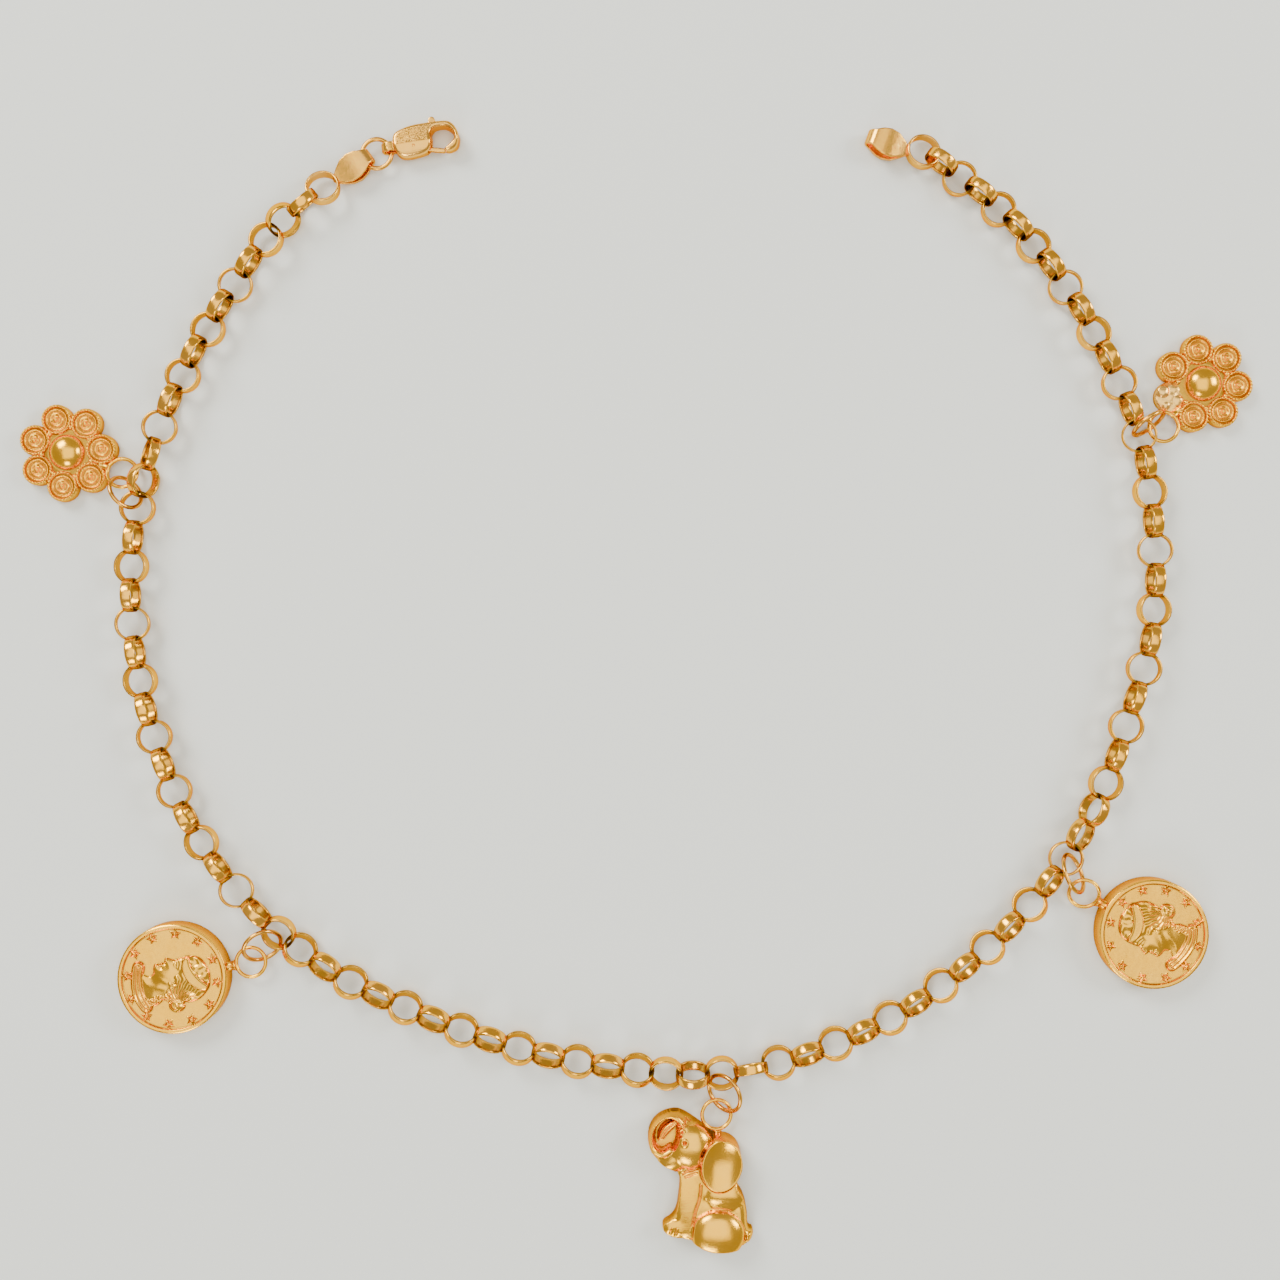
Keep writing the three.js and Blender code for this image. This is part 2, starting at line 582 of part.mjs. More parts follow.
// Elephant: rounded masses of the seated animal, with centre, half-sizes and height of the middle as shares
// of its height and thickness. X is across, Y up the seated body, from the point where its ring is soldered
const ELEPHANT_MASSES = [
  { name: 'barrel', x: 0.0, y: -0.49, across: 0.2, up: 0.33, middle: 0.3, deep: 0.6, turn: 8 },
  { name: 'haunch', x: 0.01, y: -0.73, across: 0.19, up: 0.16, middle: 0.35, deep: 0.62, turn: 0 },
  { name: 'head', x: -0.25, y: -0.085, across: 0.2, up: 0.235, middle: 0.3, deep: 0.65, turn: 0 },
  { name: 'cheek', x: -0.2, y: -0.28, across: 0.16, up: 0.16, middle: 0.3, deep: 0.6, turn: 0 },
  { name: 'foreleg', x: -0.22, y: -0.53, across: 0.08, up: 0.27, middle: 0.35, deep: 0.5, turn: -3 },
  { name: 'forefoot', x: -0.29, y: -0.72, across: 0.12, up: 0.07, middle: 0.3, deep: 0.5, turn: 8 },
  { name: 'hind foot', x: -0.09, y: -0.825, across: 0.14, up: 0.065, middle: 0.3, deep: 0.5, turn: 0 },
  { name: 'tail', x: 0.215, y: -0.735, across: 0.055, up: 0.045, middle: 0.3, deep: 0.35, turn: 0 },
];
const EAR = { x: 0.02, y: -0.22, across: 0.155, up: 0.2, foot: 0.12, rim: 0.22 };
const TRUNK = [
  { x: -0.28, y: -0.3 }, { x: -0.42, y: -0.235 }, { x: -0.475, y: -0.12 }, { x: -0.45, y: 0.0 },
  { x: -0.36, y: 0.06 }, { x: -0.27, y: 0.03 },
];
const TRUNK_RADIUS = 0.055;

function blob({ x, y, across, up, middle, deep, turn }) {
  return solidOf(new THREE.SphereGeometry(1, BLOB_SIDES, BLOB_ROWS).rotateX(Math.PI / 2)
    .scale(across * ELEPHANT_HEIGHT, up * ELEPHANT_HEIGHT, deep * ELEPHANT_THICK)
    .rotateZ(THREE.MathUtils.degToRad(turn))
    .translate(x * ELEPHANT_HEIGHT, y * ELEPHANT_HEIGHT, middle * ELEPHANT_THICK));
}

function elephantSolid() {
  const parts = ELEPHANT_MASSES.map(blob);
  const dish = [
    new THREE.Vector2(0, 0), new THREE.Vector2(1 - EAR.rim, 0), new THREE.Vector2(1, 1 - EAR.foot),
    new THREE.Vector2(1 - EAR.rim, 1 - EAR.foot), new THREE.Vector2(0, (1 - EAR.foot) / 2),
  ];
  parts.push(solidOf(new THREE.LatheGeometry(dish, DOME_SIDES).rotateX(Math.PI / 2)
    .scale(EAR.across * ELEPHANT_HEIGHT, EAR.up * ELEPHANT_HEIGHT, ELEPHANT_THICK)
    .translate(EAR.x * ELEPHANT_HEIGHT, EAR.y * ELEPHANT_HEIGHT, EAR.foot * ELEPHANT_THICK)));
  const round = roundOutline(TRUNK_RADIUS * ELEPHANT_HEIGHT, BLOB_SIDES);
  const path = new THREE.CatmullRomCurve3(TRUNK.map(({ x, y }) => (
    new THREE.Vector3(x * ELEPHANT_HEIGHT, y * ELEPHANT_HEIGHT, ELEPHANT_THICK * 0.4))));
  parts.push(solidOf(new THREE.ExtrudeGeometry(new THREE.Shape(round), {
    steps: 8, bevelEnabled: false, extrudePath: path,
  })));
  const below = solidOf(new THREE.BoxGeometry(3 * ELEPHANT_HEIGHT, 3 * ELEPHANT_HEIGHT, ELEPHANT_HEIGHT)
    .translate(0, 0, -ELEPHANT_HEIGHT / 2));
  return joined(parts).subtract(below);
}

const POST_SIDES = 6;
// The soldered bead or post between a charm and its ring, from one point on the table to another
function solderPost(from, to, radius) {
  const reach = from.distanceTo(to);
  const post = new THREE.CylinderGeometry(radius, radius, reach, POST_SIDES);
  const ahead = new THREE.Vector3().subVectors(to, from).normalize();
  const level = new THREE.Vector3().crossVectors(ahead, UP);
  return solidOf(placed(post, from.clone().lerp(to, 0.5), level, ahead, UP));
}

// Each kind of charm: its solid, how far its own middle is from its ring and how it turns on the table
const RING_RADIUS = (CHARM_RING_OUTER - CHARM_RING_WIRE) / 2;
const CHARM_KINDS = {
  coin: {
    make: coinSolid,
    reach: COIN_DIAMETER / 2 + COIN_POST + RING_RADIUS,
    turn: (side) => side + 90,
    post: { height: COIN_THICK / 2, radius: 0.42, from: COIN_DIAMETER / 2 - COIN_POST_DEPTH },
  },
  flower: {
    make: flowerSolid,
    reach: ROSETTE_RING * Math.cos(Math.PI / ROSETTE_COUNT) + ROSETTE_RADIUS + RING_RADIUS * FLOWER_RING_SHARE,
    turn: (side) => side + 180,
    post: { height: ROSETTE_THICK * FLOWER_RING_HEIGHT, radius: 0.3, from: ROSETTE_RING },
  },
  elephant: {
    make: elephantSolid,
    reach: RING_RADIUS + CHARM_RING_WIRE,
    turn: () => 0,
    post: { height: CHARM_RING_WIRE * 2, radius: 0.35, from: -1.6 },
  },
};

function charmParts(row) {
  const kind = CHARM_KINDS[row.kind];
  const link = LINKS[row.link - 1];
  const jumpMiddle = (row.outer - JUMP_WIRE) / 2;
  const leanSine = Math.abs(Math.sin(THREE.MathUtils.degToRad(row.lean)));
  const jumpPlace = link.place.clone()
    .addScaledVector(heading(row.side), row.out * (LINK_INNER + jumpMiddle - JUMP_WIRE / 2));
  jumpPlace.z = jumpMiddle * leanSine + JUMP_WIRE / 2;
  const ringPlace = jumpPlace.clone()
    .addScaledVector(heading(row.ringSide), row.ringOut * (jumpMiddle + RING_RADIUS - JUMP_WIRE / 2));
  ringPlace.z = kind.post.height;
  const bodyPlace = ringPlace.clone().addScaledVector(heading(row.bodySide), kind.reach).setZ(0);
  const body = kind.make().rotate([0, 0, kind.turn(row.bodySide)]).translate([bodyPlace.x, bodyPlace.y, 0]);
  const back = heading(row.bodySide + 180);
  const postHeight = new THREE.Vector3(0, 0, kind.post.height);
  const postStart = bodyPlace.clone().add(postHeight).addScaledVector(back, kind.post.from);
  const postEnd = ringPlace.clone().addScaledVector(back, -RING_RADIUS);
  const ring = leaningRing(CHARM_RING_OUTER, CHARM_RING_WIRE, ringPlace, row.bodySide, row.ringLean);
  return {
    charm: joined([body, ring, solderPost(postStart, postEnd, kind.post.radius)]),
    jump: leaningRing(row.outer, JUMP_WIRE, jumpPlace, row.along, row.lean),
  };
}

// Clasp end
const CLASP_TAG_ANGLE = 35;
const CLASP_RING_ANGLE = 27;
const TAIL_ANGLE = 23;
const CLASP_ANGLE = 9;
// Catch end
const CATCH_SOLDER_ANGLE = 178;
const CATCH_TAG_ANGLE = 160;

const claspRingRadius = (CLASP_RING_OUTER - CLASP_RING_WIRE) / 2;
const tailArc = arcRise(TAIL_WIDTH, 2 * claspRingRadius) / 2;
const claspTag = tagOn(LINKS[0], CLASP_TAG_ANGLE, CLASP_TAG_ANGLE, TAG_LOOP);
const catchTag = tagOn(LINKS[LINK_COUNT - 1], CATCH_SOLDER_ANGLE, CATCH_TAG_ANGLE, CATCH_LOOP);
const claspRingPlace = claspTag.seat.clone().addScaledVector(heading(CLASP_RING_ANGLE), claspRingRadius);
const tailPlace = claspRingPlace.clone().addScaledVector(heading(TAIL_ANGLE), claspRingRadius - tailArc);
tailPlace.z = CLASP_THICK / 2;
claspRingPlace.z = SEAT_HEIGHT;
const clasp = claspParts(tailPlace, CLASP_ANGLE);

const anklet = new THREE.Group();
anklet.add(
  meshOf('chain_left', chainSolid(2, MIDDLE_LINK), chainGold),
  meshOf('chain_right', chainSolid(MIDDLE_LINK + 1, LINK_COUNT - 1), chainGold),
  meshOf('clasp_tag', claspTag.solid, claspGold),
  meshOf('clasp_ring', leaningRing(CLASP_RING_OUTER, CLASP_RING_WIRE, claspRingPlace, CLASP_ANGLE, 0), ringGold),
  meshOf('clasp_body', clasp.body, claspGold),
  meshOf('clasp_lever', clasp.lever, claspGold),
  meshOf('catch_tag', catchTag.solid, claspGold),
);
for (const row of CHARMS) {
  const { charm, jump } = charmParts(row);
  anklet.add(meshOf(row.name, charm, charmGold), meshOf(`${row.name}_jump_ring`, jump, ringGold));
}

// The origin is on the table, under the middle of the whole
const box = new THREE.Box3().setFromObject(anklet);
const middle = box.getCenter(new THREE.Vector3());
anklet.position.set(-middle.x, -middle.y, -box.min.z);

export default anklet;
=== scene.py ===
"""Charm anklet on a pale table: a belcher chain, five cast charms, a lobster clasp and a catch tag.

Every length below is in millimetres in the photograph's own table frame, with X right, Y up the picture and
Z off the table. Meshes are written in metres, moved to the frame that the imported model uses.
"""
import logging
import math
from dataclasses import dataclass
from enum import Enum
from typing import Callable, NamedTuple, Optional, Sequence

import bmesh
import bpy
import numpy as np
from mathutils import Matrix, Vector


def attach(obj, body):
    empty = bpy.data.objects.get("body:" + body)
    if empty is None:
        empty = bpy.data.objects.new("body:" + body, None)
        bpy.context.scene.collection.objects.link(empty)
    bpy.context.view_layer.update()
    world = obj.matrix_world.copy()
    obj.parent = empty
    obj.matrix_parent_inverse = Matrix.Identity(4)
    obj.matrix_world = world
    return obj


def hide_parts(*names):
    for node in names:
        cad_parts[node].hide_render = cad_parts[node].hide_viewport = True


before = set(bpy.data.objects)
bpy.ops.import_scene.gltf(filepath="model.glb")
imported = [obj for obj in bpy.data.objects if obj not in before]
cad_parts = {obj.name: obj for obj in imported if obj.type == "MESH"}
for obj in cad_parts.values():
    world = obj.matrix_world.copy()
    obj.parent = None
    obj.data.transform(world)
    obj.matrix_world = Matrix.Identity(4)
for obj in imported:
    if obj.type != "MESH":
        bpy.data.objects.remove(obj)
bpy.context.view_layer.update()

LOG = logging.getLogger("anklet")
MM = 0.001
TURN = 2 * math.pi

# Where the table frame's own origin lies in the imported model
TABLE_ORIGIN = np.array([0.3022, 4.0618, 0.0])

Array = np.ndarray


class Route(NamedTuple):
    """A point of the chain's middle line."""

    x: float
    y: float


class Along(NamedTuple):
    """A value that belongs to a link of the chain."""

    link: float
    value: float


# Route of the chain's middle line, from the clasp's end to the catch's end
ROUTE = [
    Route(-29.2, 41.6), Route(-33.6, 37.7), Route(-37.1, 32.9), Route(-40.4, 27.5), Route(-43.2, 21.8),
    Route(-45.3, 15.8), Route(-46.5, 9.5), Route(-46.7, 2.9), Route(-45.9, -3.7), Route(-44.2, -10.1),
    Route(-41.6, -16.3), Route(-38.0, -21.8), Route(-33.4, -26.7), Route(-27.9, -30.7), Route(-21.7, -33.7),
    Route(-15.4, -36.2), Route(-8.8, -38.1), Route(-1.9, -39.3), Route(5.0, -39.9), Route(12.1, -39.0),
    Route(18.7, -36.8), Route(24.8, -33.7), Route(30.4, -29.6), Route(35.5, -24.7), Route(39.7, -19.2),
    Route(42.8, -13.0), Route(45.0, -6.6), Route(46.8, -0.2), Route(47.3, 6.3), Route(46.9, 12.9),
    Route(45.7, 19.3), Route(43.4, 25.0), Route(40.4, 30.5), Route(36.9, 35.5), Route(32.8, 39.9),
    Route(26.1, 45.0),
]

# How near each link lies to the next, as a share of the stretched pitch
SLACK = [
    Along(1, 0.97), Along(4, 0.96), Along(6, 0.86), Along(10, 0.88), Along(12, 1.0), Along(15, 1.0),
    Along(17, 0.95), Along(27, 0.965), Along(29, 1.0), Along(65, 1.0), Along(67, 1.0), Along(75, 0.97),
    Along(81, 0.9), Along(85, 0.84), Along(90, 0.8),
]

# Roll of the links about the chain, in degrees: 0 lies flat, 90 stands on its edge
ROLL = [
    Along(1, 0), Along(2, 75), Along(4, 180), Along(12, 900), Along(15, 1080), Along(29, 2340),
    Along(30, 2430), Along(31, 2529), Along(32, 2655), Along(44, 3735), Along(45, 3805), Along(46, 3890),
    Along(47, 3960), Along(48, 4035), Along(49, 4100), Along(60, 5090), Along(61, 5205), Along(62, 5265),
    Along(63, 5330), Along(64, 5400), Along(75, 6390), Along(76, 6463), Along(77, 6570), Along(90, 7740),
]


class Kind(Enum):
    """The kinds of charm."""

    COIN = "coin"
    FLOWER = "flower"
    ELEPHANT = "elephant"


@dataclass(frozen=True)
class CharmRow:
    """Where a charm hangs: its link, its jump ring and the ring soldered to it, as shares and angles."""

    name: str
    kind: Kind
    link: int
    outer: float
    side: float
    out: float
    along: float
    lean: float
    ring_side: float
    ring_out: float
    ring_lean: float
    body_side: float


CHARMS = [
    CharmRow("flower_left", Kind.FLOWER, 15, 3.6, 128, 0.66, 122, 58, 107, 0.72, 11, 159.4),
    CharmRow("coin_left", Kind.COIN, 31, 3.9, 218, 0.67, 40, 45, 234, 0.69, 1, 191),
    CharmRow("elephant", Kind.ELEPHANT, 47, 4.0, -82, 0.65, -69, 43, -108, 0.78, -7, -87),
    CharmRow("coin_right", Kind.COIN, 61, 4.0, -65, 0.5, -64, -56, -59, 0.78, 19, -30.3),
    CharmRow("flower_right", Kind.FLOWER, 76, 3.6, 53, 0.48, 211, -69, -6, 0.63, 0, 47.7),
]


@dataclass(frozen=True)
class ChainSize:
    """Sizes of the belcher chain's links."""

    count: int = 90
    middle: int = 45
    inner: float = 1.37
    wall: float = 0.2
    width: float = 0.85
    flats: int = 10
    shoulder: float = 0.55
    bite: float = 0.05
    piece_gap: float = 0.25
    round_inner: float = 1.4
    fullness: float = 0.17
    breadth: float = 1.12
    sway: float = 12.0
    steps: int = 64


@dataclass(frozen=True)
class RingSize:
    """Sizes of the round wire rings."""

    jump_wire: float = 0.42
    drawn_share: float = 0.93
    charm_outer: float = 3.1
    charm_wire: float = 0.38
    clasp_outer: float = 3.15
    clasp_wire: float = 0.44
    steps: int = 96
    corners: int = 20


@dataclass(frozen=True)
class TagSize:
    """Sizes of the folded end tags."""

    length: float = 3.95
    width: float = 2.5
    sheet: float = 0.25
    clasp_loop: float = 0.5
    catch_loop: float = 0.7
    seat_clearance: float = 0.23


@dataclass(frozen=True)
class ClaspSize:
    """Sizes of the lobster clasp and its lever."""

    length: float = 6.5
    width: float = 2.95
    thick: float = 1.9
    round_edge: float = 0.3
    tail_hole: float = 0.5
    tail_wall: float = 0.26
    tail_width: float = 0.85
    lever_thick: float = 0.55
    lever_arm: float = 0.38
    lever_eye: float = 0.5
    lever_knob: float = 0.33
    lever_clearance: float = 0.1
    lever_travel: float = 20.0
    rivet: float = 0.2


@dataclass(frozen=True)
class CoinSize:
    """Sizes of a coin charm."""

    diameter: float = 10.1
    thick: float = 2.0
    rim: float = 0.38
    sunk: float = 0.2
    post: float = 0.75
    stars: int = 12
    star_radius: float = 0.6
    star_ring: float = 4.16
    star_rise: float = 0.34
    head: float = 6.5
    head_rise: float = 0.55
    grid: int = 250


@dataclass(frozen=True)
class FlowerSize:
    """Sizes of a flower charm."""

    petals: int = 7
    petal_ring: float = 3.24
    reach: float = 2.5
    ring: float = 3.18
    rosette: float = 1.43
    rosette_thick: float = 1.25
    dome: float = 1.75
    dome_height: float = 2.0
    plate: float = 0.55


@dataclass(frozen=True)
class ElephantSize:
    """Sizes of the elephant charm."""

    height: float = 12.2
    thick: float = 3.0
    step: float = 0.075


CHAIN = ChainSize()
RINGS = RingSize()
TAG = TagSize()
CLASP = ClaspSize()
COIN = CoinSize()
FLOWER = FlowerSize()
ELEPHANT = ElephantSize()
SEAT_HEIGHT = CLASP.thick / 2
UP = np.array([0.0, 0.0, 1.0])


def heading(degrees: float) -> Array:
    """Give the level direction at an angle.

    Args:
        degrees: Angle from +X towards +Y.

    Returns:
        The cosine and sine of the angle, and 0.
    """
    angle = math.radians(degrees)
    return np.array([math.cos(angle), math.sin(angle), 0.0])


def unit(vector: Array) -> Array:
    """Scale a vector, or rows of vectors, to length 1.

    Args:
        vector: The vector or rows.

    Returns:
        Each vector over its own length.
    """
    return vector / np.linalg.norm(vector, axis=-1, keepdims=True)


def basis(x_axis: Array, y_axis: Array, z_axis: Array) -> Array:
    """Stack three axes so that a row of local coordinates times them gives table coordinates.

    Args:
        x_axis: Where local X points.
        y_axis: Where local Y points.
        z_axis: Where local Z points.

    Returns:
        The three axes as rows.
    """
    return np.stack([x_axis, y_axis, z_axis])


def level_basis(degrees: float) -> Array:
    """Give the axes of a shape that lies level and is turned about Z.

    Args:
        degrees: Angle of its local X.

    Returns:
        The three axes as rows.
    """
    return basis(heading(degrees), heading(degrees + 90), UP)


def turned(vector: Array, axis: Array, degrees: float) -> Array:
    """Turn a vector about an axis by Rodrigues' formula.

    Args:
        vector: The vector to turn.
        axis: Unit axis of the turn.
        degrees: Right-handed angle.

    Returns:
        The turned vector.
    """
    angle = math.radians(degrees)
    return (vector * math.cos(angle) + np.cross(axis, vector) * math.sin(angle)
            + axis * (axis @ vector) * (1 - math.cos(angle)))


def table_at(rows: Sequence[Along], link: float) -> float:
    """Read a table at a link, in straight lines between its rows.

    Args:
        rows: The table.
        link: Number of the link, or a half number between two links.

    Returns:
        The value there.
    """
    return float(np.interp(link, [row.link for row in rows], [row.value for row in rows]))


def smooth_step(value: Array, low: float, high: float) -> Array:
    """Rise smoothly from 0 to 1.

    Args:
        value: Where to read the curve.
        low: Where the rise starts.
        high: Where it ends.

    Returns:
        3 t squared less 2 t cubed, with t the clamped share of the way from low to high.
    """
    share = np.clip((value - low) / (high - low), 0.0, 1.0)
    return share * share * (3 - 2 * share)


def smooth_curve(points: Sequence[Sequence[float]], per_span: int, closed: bool) -> Array:
    """Run a uniform Catmull-Rom curve through points.

    Args:
        points: The points.
        per_span: Samples between two points.
        closed: Whether the curve returns to its start.

    Returns:
        Samples along the curve, the last point included where it is open.
    """
    knots = np.array(points, dtype=float)
    count = len(knots)
    spans = count if closed else count - 1
    position = np.linspace(0, spans, spans * per_span + 1)
    index = np.minimum(position.astype(int), spans - 1)
    share = (position - index)[:, None]
    pick = (lambda i: knots[i % count]) if closed else (lambda i: knots[np.clip(i, 0, count - 1)])
    before, here, there, after = (pick(index + shift) for shift in (-1, 0, 1, 2))
    leave = (there - before) / 2
    arrive = (after - here) / 2
    curve = ((2 * here - 2 * there + leave + arrive) * share ** 3
             + (3 * there - 3 * here - 2 * leave - arrive) * share ** 2 + leave * share + here)
    return curve[:-1] if closed else curve


# Meshes


def new_object(name: str, data: bpy.types.ID) -> bpy.types.Object:
    """Make an object and link it to the scene.

    Args:
        name: Its name.
        data: Its mesh, light or camera.

    Returns:
        The new object.
    """
    made = bpy.data.objects.new(name, data)
    bpy.context.scene.collection.objects.link(made)
    return made


class MeshBuilder:
    """Gathers points and quads of one piece and writes them as one mesh."""

    # Points nearer than this, in metres, are one point
    SAME_POINT = 2e-7

    def __init__(self) -> None:
        self.points: list[Array] = []
        self.quads: list[Array] = []
        self.shades: list[Array] = []
        self.total = 0

    def add(self, points: Array, quads: Array, shade: Array | float = 0.0) -> None:
        """Add loose points and quads.

        Args:
            points: Places, in millimetres.
            quads: Rows of four point numbers.
            shade: Painted shade of each point, or of all of them, 0 to 1, mostly from how deep in a recess it
                lies.
        """
        flat = points.reshape(-1, 3)
        self.points.append(flat)
        self.quads.append(quads + self.total)
        self.shades.append(np.broadcast_to(shade, points.shape[:-1]).reshape(-1))
        self.total += len(flat)

    def add_grid(self, grid: Array, close_u: bool, close_v: bool, shade: Array | float = 0.0) -> None:
        """Add a sheet of quads.

        Args:
            grid: Places over two steps, u then v.
            close_u: Whether the sheet closes along u.
            close_v: Whether it closes along v.
            shade: Painted shade of each place, or of all of them, mostly its recess depth.
        """
        rows, columns = grid.shape[:2]
        number = np.arange(rows * columns).reshape(rows, columns)
        u_next = np.roll(number, -1, axis=0)
        v_next = np.roll(number, -1, axis=1)
        both = np.roll(u_next, -1, axis=1)
        quads = np.stack([number, u_next, both, v_next], axis=-1)
        quads = quads[: rows if close_u else rows - 1, : columns if close_v else columns - 1]
        self.add(grid, quads.reshape(-1, 4), shade)

    def build(self, name: str) -> bpy.types.Object:
        """Write the mesh in metres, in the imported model's frame.

        Args:
            name: Name of the piece.

        Returns:
            The new object, linked to the scene.
        """
        points = (np.concatenate(self.points) + TABLE_ORIGIN) * MM
        quads = np.concatenate(self.quads)
        mesh = bpy.data.meshes.new(name)
        mesh.vertices.add(len(points))
        mesh.vertices.foreach_set("co", points.astype(np.float32).ravel())
        mesh.loops.add(quads.size)
        mesh.loops.foreach_set("vertex_index", quads.astype(np.int32).ravel())
        mesh.polygons.add(len(quads))
        mesh.polygons.foreach_set("loop_start", np.arange(0, quads.size, 4, dtype=np.int32))
        # The shade attribute carries painted shade, which the gold material mixes into the colour
        shade = mesh.attributes.new("shade", "FLOAT", "POINT")
        shade.data.foreach_set("value", np.concatenate(self.shades).astype(np.float32))
        mesh.update(calc_edges=True)
        self._merge_poles(mesh)
        mesh.polygons.foreach_set("use_smooth", np.ones(len(mesh.polygons), dtype=bool))
        LOG.info("%s: %d points, %d faces", name, len(mesh.vertices), len(mesh.polygons))
        return new_object(name, mesh)

    def _merge_poles(self, mesh: bpy.types.Mesh) -> None:
        """Join points that lie on each other, as at the poles of a turned shape."""
        work = bmesh.new()
        work.from_mesh(mesh)
        bmesh.ops.remove_doubles(work, verts=work.verts, dist=self.SAME_POINT)
        bmesh.ops.recalc_face_normals(work, faces=work.faces)
        work.to_mesh(mesh)
        work.free()


def surface_net(field: Array, low: Array, step: float) -> tuple[Array, Array]:
    """Turn a sampled distance field into a mesh with one point in each cell that its surface crosses.

    Args:
        field: Signed distances on a box grid, negative inside.
        low: Place of the grid's first sample.
        step: Distance between samples.

    Returns:
        Points, and rows of four point numbers.
    """
    cells = tuple(size - 1 for size in field.shape)
    total = np.zeros(cells + (3,), dtype=np.float32)
    count = np.zeros(cells, dtype=np.float32)
    grid = np.indices(cells, dtype=np.float32)
    crossings = []
    for axis in range(3):
        here = np.take(field, range(field.shape[axis] - 1), axis)
        there = np.take(field, range(1, field.shape[axis]), axis)
        crossing = (here < 0) != (there < 0)
        share = np.where(crossing, here / np.where(crossing, here - there, 1.0), 0.0)
        crossings.append(crossing)
        first, second = [other for other in range(3) if other != axis]
        for i in (0, 1):
            for j in (0, 1):
                window = [slice(None)] * 3
                window[first] = slice(i, i + cells[first])
                window[second] = slice(j, j + cells[second])
                cross = crossing[tuple(window)]
                count += cross
                total[..., axis] += np.where(cross, share[tuple(window)], 0.0)
                total[..., first] += cross * i
                total[..., second] += cross * j
    used = count > 0
    number = np.full(cells, -1, dtype=np.int64)
    number[used] = np.arange(int(used.sum()))
    middle = total[used] / count[used][:, None]
    points = low + step * (np.stack([grid[axis][used] for axis in range(3)], axis=-1) + middle)
    faces = []
    for axis, crossing in enumerate(crossings):
        first, second = [other for other in range(3) if other != axis]
        window = [slice(None)] * 3
        window[first] = slice(1, -1)
        window[second] = slice(1, -1)
        back_first, back_second = np.eye(3, dtype=int)[[first, second]]
        place = np.argwhere(crossing[tuple(window)]) + back_first + back_second
        ring = [place - back_first - back_second, place - back_second, place, place - back_first]
        faces.append(np.stack([number[tuple(spot.T)] for spot in ring], axis=-1))
    return points, np.concatenate(faces)


def band_grid(section: Array, steps: int, squash: float = 0.0) -> Array:
    """Sweep a closed section round the local Y axis.

    Args:
        section: Rows of a radius and a place along Y.
        steps: Steps round the ring.
        squash: How oval the ring is, as a share of its radius.

    Returns:
        Places over the steps and the section.
    """
    angle = np.linspace(0, TURN, steps, endpoint=False)[:, None]
    radius = section[None, :, 0]
    along = np.broadcast_to(section[None, :, 1], (steps, len(section)))
    return np.stack([
        radius * np.sin(angle) * (1 + squash), along, radius * np.cos(angle) * (1 - squash),
    ], axis=-1)


def lathe_grid(profile: Array, steps: int) -> Array:
    """Turn a profile about the local Z axis.

    Args:
        profile: Rows of a radius and a height.
        steps: Steps round the axis.

    Returns:
        Places over the profile and the steps.
    """
    angle = np.linspace(0, TURN, steps, endpoint=False)[None, :]
    radius = profile[:, 0][:, None]
    height = np.broadcast_to(profile[:, 1][:, None], (len(profile), steps))
    return np.stack([radius * np.cos(angle), radius * np.sin(angle), height], axis=-1)


def wire_section(middle: float, wire: float, corners: int) -> Array:
    """Give the round section of a wire ring.

    Args:
        middle: Radius of the ring's middle line.
        wire: Diameter of the wire.
        corners: Points round the wire.

    Returns:
        Rows of a radius and a place along the ring's axis.
    """
    angle = np.linspace(0, TURN, corners, endpoint=False)
    return np.stack([middle + wire / 2 * np.cos(angle), wire / 2 * np.sin(angle)], axis=-1)


def segment_distance(x: Array, y: Array, path: Array, closed: bool) -> tuple[Array, Array]:
    """Measure how far points of a plane lie from a path.

    Args:
        x: First coordinates of the points.
        y: Second coordinates.
        path: Rows of the path's own points.
        closed: Whether the path returns to its start.

    Returns:
        The distance, and the share of the way along the path where it is nearest.
    """
    ends = np.roll(path, -1, axis=0) if closed else path[1:]
    starts = path if closed else path[:-1]
    best = np.full(x.shape, np.inf)
    where = np.zeros(x.shape)
    for i, (start, end) in enumerate(zip(starts, ends)):
        span = end - start
        length = max(float(span @ span), 1e-12)
        share = np.clip(((x - start[0]) * span[0] + (y - start[1]) * span[1]) / length, 0, 1)
        distance = np.hypot(x - start[0] - share * span[0], y - start[1] - share * span[1])
        nearer = distance < best
        best = np.where(nearer, distance, best)
        where = np.where(nearer, (i + share) / len(starts), where)
    return best, where


def path_distance(x: Array, y: Array, path: Sequence[Sequence[float]], per_span: int) -> tuple[Array, Array]:
    """Measure how far points of a plane lie from the open curve through a few places.

    Args:
        x: First coordinates of the points.
        y: Second coordinates.
        path: The places.
        per_span: Samples of the curve between two of them.

    Returns:
        The distance, and the share of the way along the curve where it is nearest.
    """
    return segment_distance(x, y, smooth_curve(path, per_span, closed=False), closed=False)


def outline_distance(x: Array, y: Array, outline: Array) -> Array:
    """Measure signed distances to a closed outline.

    Args:
        x: First coordinates of the points.
        y: Second coordinates.
        outline: Rows of the outline's points.

    Returns:
        Distances, negative inside.
    """
    distance, _ = segment_distance(x, y, outline, closed=True)
    inside = np.zeros(x.shape, dtype=bool)
    for (x0, y0), (x1, y1) in zip(outline, np.roll(outline, -1, axis=0)):
        crosses = (y0 > y) != (y1 > y)
        inside ^= crosses & (x < (x1 - x0) * (y - y0) / (y1 - y0 if y1 != y0 else 1.0) + x0)
    return np.where(inside, -distance, distance)


def blend_in(first: Array, second: Array, soft: float) -> Array:
    """Join two distance fields with a soft fillet.

    Args:
        first: One field.
        second: The other field.
        soft: Size of the fillet.

    Returns:
        The smaller of the two, less a smooth bulge where they are about equal.
    """
    near = np.maximum(soft - np.abs(first - second), 0.0) / soft
    return np.minimum(first, second) - near * near * soft / 4
